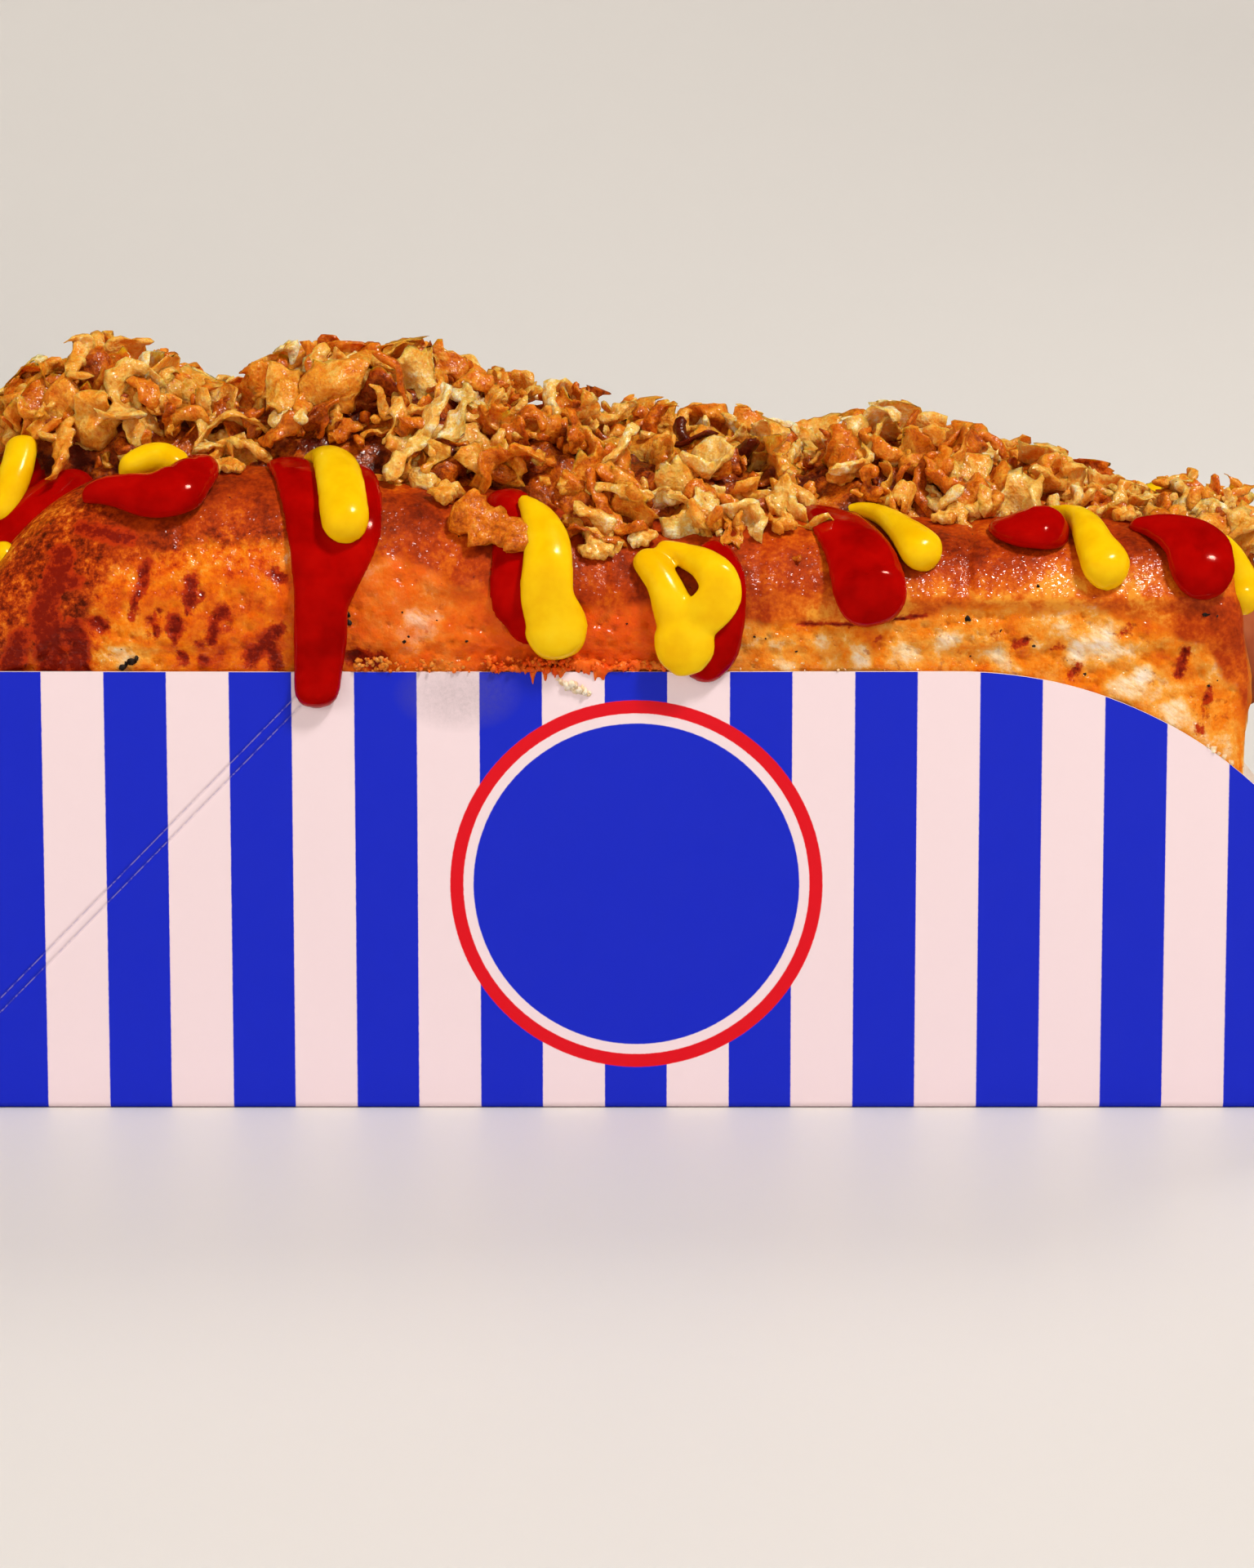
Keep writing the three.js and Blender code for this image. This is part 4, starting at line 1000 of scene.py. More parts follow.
# %% Ketchup
LEFT_END_KETCHUP = [
    [(-63.0, -9.0, 69.6, 2.6, 2.6), (-67.4, -11.0, 67.2, 3.2, 2.8), (-71.8, -12.5, 64.4, 3.0, 2.6),
     (-76.0, -12.5, 61.0, 2.4, 2.4)],
    [(-66.5, -3.0, 72.0, 3.0, 3.0), (-71.0, -5.0, 69.5, 3.6, 3.0), (-75.5, -5.5, 66.0, 3.2, 2.8)],
]
bread_surface = surface_of(roll_mesh)
ketchup_fingers = [face_finger(places, -1, bread_surface) for places in KETCHUP_FRONT]
ketchup_fingers += [face_finger(places, 1, bread_surface) for places in KETCHUP_BACK]
ketchup_fingers += [free_finger(places) for places in LEFT_END_KETCHUP]
ketchup_mesh = melted("ketchup", ketchup_fingers, 0.38, 4, seed=81)

ketchup, tree = new_material("thick tomato ketchup")
place = add(tree, "TexCoord", output="Object")
KETCHUP_STOPS = [(0.3, "#8A0201"), (0.55, "#A60402"), (0.8, "#BA0A04")]
ketchup_colour = add(tree, "ValToRGB", {0: add(tree, "TexNoise", lumps_of(5))}, stops=KETCHUP_STOPS)
pulp = add(tree, "TexNoise", lumps_of(1.4))
bump = add(tree, "Bump", {"Strength": 0.12, "Distance": 0.1 * MM, "Height": pulp})
finish_material(
    tree, Base_Color=ketchup_colour, Roughness=0.11, Normal=bump, IOR=1.4,
    Specular_IOR_Level=0.35, Specular_Tint=linear("#FFA898"),
    Subsurface_Weight=0.1, Subsurface_Radius=(1.0, 0.08, 0.04), Subsurface_Scale=1.0 * MM,
)
make_piece(ketchup_mesh, "ketchup", "roll", ketchup)

# %% Mustard
LEFT_END_MUSTARD = [
    [(-71.2, -7.0, 74.4, 1.9, 2.4), (-71.4, -9.0, 72.0, 2.0, 2.6), (-71.9, -10.5, 69.6, 2.0, 2.8),
     (-72.9, -11.5, 67.1, 2.0, 2.8), (-74.2, -12.3, 64.6, 1.9, 2.7)],
    [(-71.0, -16.4, 62.2, 1.3, 1.8), (-73.2, -16.4, 61.5, 1.8, 2.2), (-75.8, -15.4, 60.4, 1.8, 2.2)],
]
sauced_surface = surface_of(roll_mesh, ketchup_mesh)
mustard_fingers = [face_finger(places, -1, sauced_surface) for places in MUSTARD_FRONT]
mustard_fingers += [face_finger(places, 1, sauced_surface) for places in MUSTARD_BACK]
mustard_fingers += [free_finger(places) for places in LEFT_END_MUSTARD]
mustard_mesh = melted("mustard", mustard_fingers, 0.34, 4, seed=85)

mustard, tree = new_material("smooth yellow mustard")
place = add(tree, "TexCoord", output="Object")
MUSTARD_STOPS = [(0.3, "#EDB400"), (0.55, "#F6C606"), (0.8, "#FAD21C")]
mustard_colour = add(tree, "ValToRGB", {0: add(tree, "TexNoise", lumps_of(4))}, stops=MUSTARD_STOPS)
ground_seed = add(tree, "TexNoise", lumps_of(0.9))
bump = add(tree, "Bump", {"Strength": 0.15, "Distance": 0.1 * MM, "Height": ground_seed})
finish_material(
    tree, Base_Color=mustard_colour, Roughness=0.2, Normal=bump,
    Specular_IOR_Level=0.4, Specular_Tint=linear("#FFF0B8"),
    Subsurface_Weight=0.2, Subsurface_Radius=(1.0, 0.7, 0.1), Subsurface_Scale=1.0 * MM,
)
make_piece(mustard_mesh, "mustard", "roll", mustard)

# %% [markdown]
# ## Fried onions
# Sliced onion, floured and fried crisp: curled strips and blistered flakes a few millimetres long, no
# two alike, some pale and half clear, some nearly burnt. Particles or instances would repeat a few
# shapes and would be lost in an export, so numpy makes every flake as its own small closed tube: bent,
# twisted, hollowed across, frayed at its edges and pushed about by noise. All flakes of a kind are one
# mesh.

# %% The heap
# The top of the heap as (x, height), and how far it reaches to the front and to the back.
SKYLINE = [
    (-79, 68), (-75, 77.4), (-71, 81.2), (-64, 84.2), (-56, 82.6), (-49, 78.8), (-44, 81.6), (-39, 84.3),
    (-33, 83.2), (-24, 84.0), (-20, 80.7), (-9, 79.3), (-3, 76.6), (10, 76.0), (18, 73.4), (27, 76.2),
    (38, 74.5), (46, 71.5), (52, 69.2), (58, 67.0), (66, 68.0), (73, 66.0),
]
HEAP_FRONT = [
    (-79, 9), (-60, 13), (-40, 16), (-20, 19), (-8, 23), (8, 22), (20, 18), (34, 16.5), (50, 14.5), (66, 7),
    (73, 4),
]
HEAP_BACK = [(-79, 11), (-55, 17), (-25, 19), (0, 17), (25, 19), (45, 18), (66, 18), (73, 14)]
HEAP_FLOOR = 60.0
CORE_DEPTH = 3.4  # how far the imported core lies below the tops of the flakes


def heap_point(x, turn, depth):
    """A point on the heap: turn runs from 0 at the back to pi at the front. Also its way out."""
    reach = np.where(np.cos(turn) > 0, along(HEAP_BACK, x), along(HEAP_FRONT, x)) - 0.5 * depth
    tall = along(SKYLINE, x) - depth - HEAP_FLOOR
    y = reach * np.cos(turn)
    z = HEAP_FLOOR + tall * np.sin(turn) ** 0.85
    out = np.stack([0 * y, np.cos(turn) / reach, np.sin(turn) / tall], axis=-1)
    return np.stack([x, y, z], axis=-1), out / np.linalg.norm(out, axis=-1, keepdims=True)


CORE_GRID = {"rings": 230, "sides": 76}
core_x, core_turn = np.meshgrid(
    np.linspace(-76.5, 69.5, CORE_GRID["rings"]), np.linspace(0, math.pi, CORE_GRID["sides"]), indexing="ij"
)
core_x = core_x.ravel()
# The core shrinks towards its two ends, which leaves only flakes there.
end_depth = 5 * smooth((-70 - core_x) / 6) + 4 * smooth((core_x - 62) / 7)
core, core_out = heap_point(core_x, core_turn.ravel(), CORE_DEPTH + end_depth)
core = core + core_out * (1.6 * rough(core, 3, 3, seed=91) + 0.7 * rough(core, 1.4, 2, seed=92))[:, None]
core_faces = [face[::-1] for face in grid_faces(*CORE_GRID.values()).tolist()]
rows = np.arange(len(core)).reshape(CORE_GRID["rings"], CORE_GRID["sides"])
core_faces += [rows[0][::-1].tolist(), rows[-1].tolist()]
core_faces += [[int(rows[i, 0]), int(rows[i, -1]), int(rows[i + 1, -1]), int(rows[i + 1, 0])]
               for i in range(CORE_GRID["rings"] - 1)]
core_mesh = make_mesh("fried_onion_bed_in_painted_shade", core, core_faces)
print("bed of", len(core), "points")

# %% The shape of a flake
def crisps(rng, count, sizes, grid, curl, crumple):
    """Points of many crisp flakes at once, lying at the origin, as (flake, ring, side, 3), in mm."""
    rings, sides = grid
    length, width, thick = (
        (low + (high - low) * rng.random(count) ** power)[:, None, None] for low, high, power in sizes
    )

    def each(low, high):
        return (low + (high - low) * rng.random(count))[:, None, None]

    def waves(place, *numbers):
        return sum(np.sin(number * place + each(0, 6.3)) / (1 + 0.3 * number) for number in numbers)

    u = np.linspace(-1, 1, rings)[None, :, None]
    # Each ring goes across the top of the flake from one edge to the other and back underneath.
    around = np.linspace(0, 4, sides, endpoint=False)[None, None, :]
    on_top = around <= 2
    c = np.where(on_top, 1 - around, around - 3)
    outline = (1 - np.abs(u) ** each(1.8, 5)) ** 0.5 * (1 + 0.42 * waves(u, 2, 5, 9))
    outline = np.clip(outline, 0.07, 1.6)
    frayed = 1 + 0.45 * np.abs(c) ** 3 * waves(u + 0.4 * np.sign(c), 8, 15, 23)
    y = width / 2 * (outline * c * frayed + each(-0.4, 0.4) * u**2 + 0.25 * waves(u, 3, 6) * (1 - u**2))
    x = length / 2 * u + 0 * c
    offset = rng.random((count, 3))[:, None, None] * 90
    flat = np.stack(np.broadcast_arrays(x, y, 0 * y), axis=-1) + offset
    uneven = 1 + 0.5 * lumps(flat.reshape(-1, 3), 2.2, 5).reshape(y.shape)
    thickness = thick / 2 * np.sqrt(outline) * uneven
    z = np.where(on_top, 1, -1) * thickness * np.sqrt(1 - c**4)
    # Both faces of the flake are crumpled together.
    for size, strength in crumple:
        z = z + strength * lumps(flat.reshape(-1, 3), size, int(10 * size)).reshape(y.shape)
    bend = each(*curl) * np.where(rng.random(count) < 0.5, -1, 1)[:, None, None]
    bend = np.where(np.abs(bend) < 0.05, 0.05, bend)
    arm = length / 2 / bend
    x, z = (arm + z) * np.sin(bend * u), (arm + z) * np.cos(bend * u) - arm
    twist = each(-0.9, 0.9) * u
    y, z = y * np.cos(twist) - z * np.sin(twist), y * np.sin(twist) + z * np.cos(twist)
    return np.stack(np.broadcast_arrays(x, y, z), axis=-1)


def turned(rng, count, tilt):
    """Random turns that leave flat things lying nearly flat, as rotation matrices."""
    yaw = rng.random(count) * 2 * math.pi
    roll, pitch = tilt * rng.standard_normal((2, count))
    spins = [Matrix.Rotation(a, 3, "Z") @ Matrix.Rotation(b, 3, "X") @ Matrix.Rotation(c, 3, "Y")
             for a, b, c in zip(yaw, roll, pitch)]
    return np.array(spins)


def upright(outs):
    """Rotation matrices that turn straight up onto each of the directions."""
    up = Vector((0, 0, 1))
    return np.array([up.rotation_difference(Vector(out)).to_matrix() for out in outs])


def lay(shapes, spots, matrices):
    """Turns each flake, then moves it to its spot."""
    return np.einsum("fij,frsj->frsi", matrices, shapes) + spots[:, None, None]


# %% Joining and spreading the flakes
# Steps that spread numbered spots evenly over a square, without rows and without clusters.
EVEN_STEPS = (0.754877666, 0.569840291)
HEAP_SPAN = (-77.0, 70.0)
HEAP_TURN = (0.06, 0.94)


def crisp_mesh(name, shapes, bumps, blister, tints, seed):
    """Joins laid flakes in one mesh, blistered by noise, with a tint for each point, painted paler on
    raised blisters and darker in hollows as painted light and shade.
    """
    count, rings, sides = shapes.shape[:3]
    points = shapes.reshape(-1, 3)
    one = grid_faces(rings, sides, closed=True).tolist()
    one += [list(range(sides))[::-1], list(range((rings - 1) * sides, rings * sides))]
    faces = [[i + flake * rings * sides for i in face] for flake in range(count) for face in one]
    mesh = make_mesh(name, points, faces)
    own = points + np.repeat(np.random.default_rng(seed).random((count, 3)) * 90, rings * sides, axis=0)
    raised = 0
    for size, strength in bumps:
        raised = raised + strength * rough(own, size, 2, seed=seed)
    size, strength = blister
    raised = raised + strength * (smooth((0.75 - pores(own, size, seed=seed + 5)) / 0.6) - 0.4)
    set_points(mesh, points + normals_of(mesh) * raised[:, None])
    # Raised blisters are tinted paler and hollows darker: painted highlight and painted shade.
    tint = np.repeat(tints, rings * sides) + 0.2 * rough(own, 2.2, 2, seed=seed + 3) + 0.22 * raised
    put_values(mesh, "tint", tint)
    return mesh


def heap_spots(rng, count, depth_range):
    """Spots spread evenly over the heap, with the way out and the depth at each."""
    number = np.arange(count)
    along_x = (number * EVEN_STEPS[0] + 0.04 * rng.random(count)) % 1
    x = HEAP_SPAN[0] + (HEAP_SPAN[1] - HEAP_SPAN[0]) * along_x
    share = (number * EVEN_STEPS[1] + 0.05 * rng.random(count)) % 1
    turn = math.pi * (HEAP_TURN[0] + (HEAP_TURN[1] - HEAP_TURN[0]) * share)
    depth = depth_range[0] + (depth_range[1] - depth_range[0]) * rng.random(count)
    return *heap_point(x, turn, depth), depth


# %% Kinds of flake
# Each kind: how many, rings and sides of each, sizes as (least, most, power) of length, width and
# thickness, depth below the skyline, curl, lean, crumple and bumps as (size, strength), and blisters.
KINDS = {
    "fried_onion_flakes": {
        "count": 330, "grid": (17, 20), "sizes": [(5.0, 12.5, 1.5), (3.0, 7.5, 1.3), (0.5, 1.1, 1.0)],
        "depth": (0.2, 3.8), "curl": (0.1, 1.6), "lean": 0.7,
        "crumple": [(4.0, 2.0), (1.9, 0.9), (1.0, 0.35)],
        "bumps": [(1.3, 0.2)], "blister": (1.3, 0.3), "tint": (0.38, 0.9), "gap": 2.0,
    },
    "fried_onion_curls": {
        "count": 320, "grid": (26, 12), "sizes": [(7.0, 16.0, 1.6), (1.6, 3.6, 1.2), (0.6, 1.3, 1.0)],
        "depth": (0.0, 3.2), "curl": (0.4, 2.3), "lean": 0.6,
        "crumple": [(3.2, 1.2), (1.5, 0.6), (0.9, 0.25)],
        "bumps": [(1.2, 0.2)], "blister": (1.2, 0.3), "tint": (0.42, 0.95), "gap": 1.8,
    },
    "fried_onion_lumps": {
        "count": 220, "grid": (11, 14), "sizes": [(2.6, 5.2, 1.3), (2.0, 4.0, 1.2), (0.9, 2.0, 1.0)],
        "depth": (0.6, 4.2), "curl": (0.1, 0.9), "lean": 0.9, "crumple": [(2.2, 1.0), (1.2, 0.6)],
        "bumps": [(1.1, 0.4)], "blister": (1.0, 0.4), "tint": (0.3, 0.82), "gap": 1.5,
    },
    "fried_onion_bits": {
        "count": 760, "grid": (6, 7), "sizes": [(1.0, 3.0, 1.5), (0.8, 2.2, 1.3), (0.4, 1.0, 1.0)],
        "depth": (0.5, 4.2), "curl": (0.1, 0.8), "lean": 0.9, "crumple": [(1.4, 0.5)],
        "bumps": [(0.9, 0.3)], "blister": (0.9, 0.25), "tint": (0.25, 0.85), "gap": 1.1,
    },
}
SKYLINE_SLACK = 1.5
CHARRED = (8.5, -8.0, 74.0)
print(len(KINDS), "kinds of flake")

# %% Laying the heap
sauces = surface_of(ketchup_mesh, mustard_mesh)


def clear_of_sauces(spots, gap):
    """The sauces keep the onions off where they run out from under them."""
    return np.array([sauces.find_nearest(Vector(spot), gap)[0] is None for spot in spots])


# More lumps hang over the left end of the heap, above the end of the sausage.
END = {"kind": "fried_onion_lumps", "count": 80, "lean": 0.6, "facing": (-0.9, 0, 0.44)}
END |= {"low": (-78.2, -7.5, 59.6), "high": (-76.2, 7.5, 70.0)}
kind, count = KINDS[END["kind"]], END["count"]
end_rng = np.random.default_rng(17)
spots = end_rng.uniform(END["low"], END["high"], (count, 3))
shapes = crisps(end_rng, count, kind["sizes"], kind["grid"], kind["curl"], kind["crumple"])
clear = clear_of_sauces(spots, kind["gap"])
end_laid = lay(shapes, spots, upright([END["facing"]] * count) @ turned(end_rng, count, END["lean"]))[clear]
end_tints = end_rng.uniform(*kind["tint"], len(end_laid))

rng = np.random.default_rng(7)
heap_meshes = []
for seed, (name, kind) in enumerate(KINDS.items(), start=101):
    count = kind["count"]
    spots, outs, depths = heap_spots(rng, count, kind["depth"])
    shapes = crisps(rng, count, kind["sizes"], kind["grid"], kind["curl"], kind["crumple"])
    laid = lay(shapes, spots, upright(outs) @ turned(rng, count, kind["lean"]))
    over = np.clip(laid[..., 2] - along(SKYLINE, laid[..., 0]) - SKYLINE_SLACK, 0, None)
    laid[..., 2] -= 0.8 * over
    least, most = kind["tint"]
    # Flakes that lie deeper in the heap are tinted darker, as painted shade.
    tints = least + (most - least) * rng.random(count) ** 0.8 - 0.07 * depths
    # One piece of each kind is charred, all at one place.
    tints[np.linalg.norm(spots - CHARRED, axis=1).argmin()] = -0.3
    clear = clear_of_sauces(spots, kind["gap"])
    laid, tints = laid[clear], tints[clear]
    if name == END["kind"]:
        laid, tints = np.concatenate([laid, end_laid]), np.concatenate([tints, end_tints])
    heap_meshes.append(crisp_mesh(name, laid, kind["bumps"], kind["blister"], tints, seed))
    print(name, len(laid), "in the heap,", int((~clear).sum()), "left off for the sauces")

# %% Flakes that lie loose on the roll
# A few fell past the heap, as (x, distance down the front face, length, width, turn, tint).
FALLEN = [
    (-16.9, 10.8, 10.6, 5.6, -0.6, 0.42), (-5.7, 11.2, 3.6, 3.2, 0.9, 0.7),
    (-0.5, 9.2, 3.4, 2.2, 0.1, 0.75), (15.5, 7.0, 2.8, 2.2, 0.6, 0.65), (-47.5, 2.4, 4.2, 2.4, 0.2, 0.7),
    (-22.6, 5.6, 3.2, 2.6, 1.2, 0.6), (34.0, 3.2, 3.0, 2.4, 0.4, 0.7), (54.6, 1.5, 3.4, 2.4, 0.9, 0.65),
    (-7.6, 7.6, 3.4, 2.8, 0.4, 0.6),
]
sauced_surface = surface_of(roll_mesh, ketchup_mesh, mustard_mesh)
fallen, fallen_tints = [], []
for x, arc, length, width, turn, tint in FALLEN:
    spot, out = face_point(x, arc, -1)
    spot = settled(sauced_surface, [spot], [out])[0] + out * 0.7
    sizes = [(length, length, 1), (width, width, 1), (0.26 * width + 0.6, 0.26 * width + 0.6, 1)]
    shape = crisps(rng, 1, sizes, (24, 30), (0.1, 0.3), [(3.2, 0.5)])
    across = np.cross(out, [1.0, 0, 0])
    facing = np.stack([np.array([1.0, 0, 0]), across, out], axis=-1)
    fallen.append(lay(shape, spot[None], (facing @ np.array(Matrix.Rotation(turn, 3, "Z")))[None]))
    fallen_tints.append(tint)
fallen = np.concatenate(fallen)
fallen_mesh = crisp_mesh("fallen_onion_flakes", fallen, [(0.7, 0.3)], (1.0, 0.34), fallen_tints, 131)
print(len(FALLEN), "loose flakes")

# %% [markdown]
# ### Onion, floured and fried crisp
# Frying leaves a glassy, blistered brown shell: thin places are pale gold and let light through, thick
# ones are dark. Each flake has its own tint, and a film of oil gives small sharp highlights. The stored
# tint also holds painted light and shade: paler on raised blisters, darker in hollows, on deep flakes
# and on the bed beneath them.

# %% Fried onion material
fried, tree = new_material("onion, floured and fried crisp")
place = add(tree, "TexCoord", output="Object")
FRIED_STOPS = [
    (0.0, "#561002"), (0.18, "#9E3E06"), (0.4, "#D86E0A"), (0.62, "#EC982A"), (0.85, "#F6C464"),
    (1.0, "#FDE9BC"),
]
own_tint = add(tree, "Attribute", output="Fac", attribute_name="tint")
mottled = spread(add(tree, "TexNoise", lumps_of(1.0, 4, 0.75)), 1.0)
grain_tint = add(tree, "Math", {0: own_tint, 1: mottled}, operation="ADD")
fried_colour = add(tree, "ValToRGB", {0: grain_tint}, stops=FRIED_STOPS)
bubbles = {"large": lumps_of(1.0, 2), "small": lumps_of(0.45, 1)}
beads = {"large": lumps_of(0.6, 1), "small": lumps_of(1.7, 1)}
reliefs = []
for pair, share in ((bubbles, 0.45), (beads, 0.8)):
    first, second = (add(tree, "TexNoise", settings) for settings in pair.values())
    reliefs.append(add(tree, "Math", {0: second, 1: share, 2: first}, operation="MULTIPLY_ADD"))
bump = add(tree, "Bump", {"Strength": 1.0, "Distance": 0.42 * MM, "Height": reliefs[0]})
sparks = add(tree, "Bump", {"Strength": 1.0, "Distance": 0.3 * MM, "Height": reliefs[1]})
oil = add(tree, "TexNoise", lumps_of(1.6, 3, 0.7))
oily = add(tree, "MapRange", {"Value": oil, "From Min": 0.38, "From Max": 0.5, "To Max": 0.9})
finish_material(
    tree, Base_Color=fried_colour, Roughness=0.5, Normal=bump,
    Specular_IOR_Level=0.3, Specular_Tint=linear("#FFDCAA"),
    Coat_Weight=oily, Coat_Roughness=0.24, Coat_IOR=1.5, Coat_Normal=sparks,
    Subsurface_Weight=0.4, Subsurface_Radius=(1.0, 0.42, 0.08), Subsurface_Scale=1.8 * MM,
)
core_points = points_of(core_mesh)
# The bed under and between the flakes gets a low, dark tint: painted shade in the gaps of the heap.
put_values(core_mesh, "tint", 0.14 + 0.5 * rough(core_points, 2.4, 3, seed=131))
for mesh in (core_mesh, *heap_meshes):
    make_piece(mesh, "fried_onions", "fried_onions", fried)
make_piece(fallen_mesh, "fried_onions", "roll", fried)

# %% [markdown]
# ## Crumbs and pepper
# Crumbs broke off where the soaked crumb of the roll hangs over the rim of the case, and at its right
# shoulder. Specks of pepper and char stick to the crust. Both are small lumps with few sides.

# %% Small lumps
HALF_WIDTH = CASE["width"] / 2
LEFT, RIGHT = -CASE["length"] / 2, CASE["length"] / 2
ARC_CENTRE_X = RIGHT - CASE["height"]


def wall_top(x):
    """Height of the long walls at x: full height, then down a quarter circle at the open end."""
    past = np.clip((x - ARC_CENTRE_X) / CASE["height"], 0, 1)
    return CASE["height"] * np.sqrt(1 - past**2)


def lump_mesh(name, spots, sizes, tints, rng, seed):
    """One mesh of small angular bits at the spots."""
    sizes = np.asarray(sizes)
    spans = [(sizes * share, sizes * share, 1) for share in (1.1, 0.8, 0.6)]
    shapes = crisps(rng, len(spots), spans, (6, 6), (0.1, 0.6), [(0.7, 0.16)])
    shapes = lay(shapes, np.asarray(spots), turned(rng, len(spots), 1.5))
    return crisp_mesh(name, shapes, [(0.5, 0.1)], (0.5, 0.08), np.asarray(tints, float), seed)


# %% Crumbs on the rim
crumb_rng = np.random.default_rng(19)
crumb_spots, crumb_sizes, crumb_tints = [], [], []
OUTER_FACE = 25.9  # what lies further out than this is on, or in front of, a long wall
# Along the rim: (from x, to x, how many, least and most size, tint from soaked red 0 to pale 1).
RIM_CRUMBS = [
    (-18.0, -8.0, 110, 0.35, 1.1, 0.1), (-8.0, 6.0, 60, 0.3, 0.7, 0.15), (-32.5, -28.6, 34, 0.4, 1.0, 0.5),
    (-28.0, -18.0, 34, 0.3, 0.8, 0.4), (9.0, 30.0, 14, 0.2, 0.45, 0.8),
]
for start, end, count, least, most, tint in RIM_CRUMBS:
    x = start + (end - start) * crumb_rng.random(count)
    z = CASE["height"] + 0.1 + 1.4 * crumb_rng.random(count)
    y = -(OUTER_FACE + 0.7 * crumb_rng.random(count))
    crumb_spots += np.stack([x, y, z], axis=-1).tolist()
    crumb_sizes += (least + (most - least) * crumb_rng.random(count) ** 2).tolist()
    crumb_tints += (tint + 0.3 * (crumb_rng.random(count) - 0.5)).tolist()
# On the cut edge of the board where it curves down, and one long crumb that slid down the board.
for x in (63.2, 63.8, 64.4, 65.0, 65.8):
    crumb_spots.append([x, -25.8, float(wall_top(x)) + 0.25])
    crumb_sizes.append(0.5 + 0.4 * crumb_rng.random())
    crumb_tints.append(0.9)
for share in np.linspace(0, 1, 16):
    wander = crumb_rng.random(2) - 0.5
    crumb_spots.append([-9.9 + 3.6 * share + 0.3 * wander[0], -26.25, 49.0 - 1.5 * share + 0.4 * wander[1]])
    crumb_sizes.append(0.5 + 0.8 * math.sin(math.pi * share))
    crumb_tints.append(0.95)
print(len(crumb_spots), "crumbs")
crumb_mesh = lump_mesh("bread_crumbs", crumb_spots, crumb_sizes, crumb_tints, crumb_rng, 141)
# %% The soaked edge
# It bulges over the rim and ends in short ragged threads.
FRINGE = {"from": -18.2, "to": 8.0, "rings": 460, "sides": 22, "top": 51.0, "middle": -25.95}
across, around = np.meshgrid(
    np.linspace(FRINGE["from"], FRINGE["to"], FRINGE["rings"]),
    np.linspace(0, 2 * math.pi, FRINGE["sides"], endpoint=False), indexing="ij",
)
line = np.stack([across[:, 0], 0 * across[:, 0], 0 * across[:, 0]], axis=-1)
strong = smooth((across[:, 0] - FRINGE["from"]) / 2) * (1 - 0.7 * smooth((across[:, 0] + 5) / 3))
strong *= smooth((FRINGE["to"] - across[:, 0]) / 3)
threads = 0.3 + 1.2 * np.clip(lumps(line, 0.8, 161), 0, 1) ** 2 + 0.8 * np.clip(lumps(line, 0.3, 162), 0, 1)
threads += 1.3 * ridge(across[:, 0] + 12.6, 0.3)
low = CASE["height"] + 0.35 - strong * threads
high = FRINGE["top"] + 0.7 * lumps(line, 2, 163)
middle = ((high + low) / 2)[:, None]
half = ((high - low) / 2)[:, None]
depth = 0.25 + 0.5 * strong[:, None] * (0.6 + 0.4 * np.sin(around))
fringe_y = FRINGE["middle"] - depth * np.cos(around)
fringe = np.stack([across, fringe_y, middle + half * np.sin(around)], axis=-1)
fringe = fringe.reshape(-1, 3)
fringe_pores = smooth((0.5 - pores(fringe, 0.8, seed=166)) / 0.4)
fringe[:, 1] -= 0.4 * rough(fringe, 0.9, 3, seed=164) - 0.3 * fringe_pores
fringe[:, 2] += 0.3 * rough(fringe, 0.5, 2, seed=165)
fringe_faces = grid_faces(FRINGE["rings"], FRINGE["sides"], closed=True)
fringe_mesh = make_mesh("soaked_crumb_edge", fringe, fringe_faces)
print("soaked edge of", len(fringe), "points")

# %% Specks of pepper and char
# The few that catch the eye, as (x, z, size), then a fine scatter.
BIG_SPECKS = [
    (-58.6, 50.6, 1.2), (-57.8, 51.0, 1.2), (-57.0, 51.4, 1.0), (-33.6, 56.4, 1.0), (-33.2, 55.6, 0.8),
    (36.0, 55.9, 0.9), (62.6, 56.4, 0.9), (64.0, 56.0, 0.6), (39.8, 54.6, 0.4), (43.4, 52.9, 0.45),
]
SMALL_SPECKS = 90
speck_spots, speck_sizes = [], []
for x, z, size in BIG_SPECKS:
    hit = bread_surface.ray_cast(Vector((x, -40, z)), Vector((0, 1, 0)))[0]
    speck_spots.append(tuple(hit))
    speck_sizes.append(size)
for _ in range(SMALL_SPECKS):
    x = -70 + 136 * crumb_rng.random()
    spot, out = face_point(x, 2 + 24 * crumb_rng.random(), -1 if crumb_rng.random() < 0.6 else 1)
    hit = bread_surface.ray_cast(Vector(spot) + Vector(out) * 6, -Vector(out), 12)[0]
    if hit is not None:
        speck_spots.append(tuple(hit))
        speck_sizes.append(0.16 + 0.3 * crumb_rng.random() ** 3)
no_tint = np.zeros(len(speck_spots))
speck_mesh = lump_mesh("pepper_specks", speck_spots, speck_sizes, no_tint, crumb_rng, 151)
print(len(speck_spots), "specks")

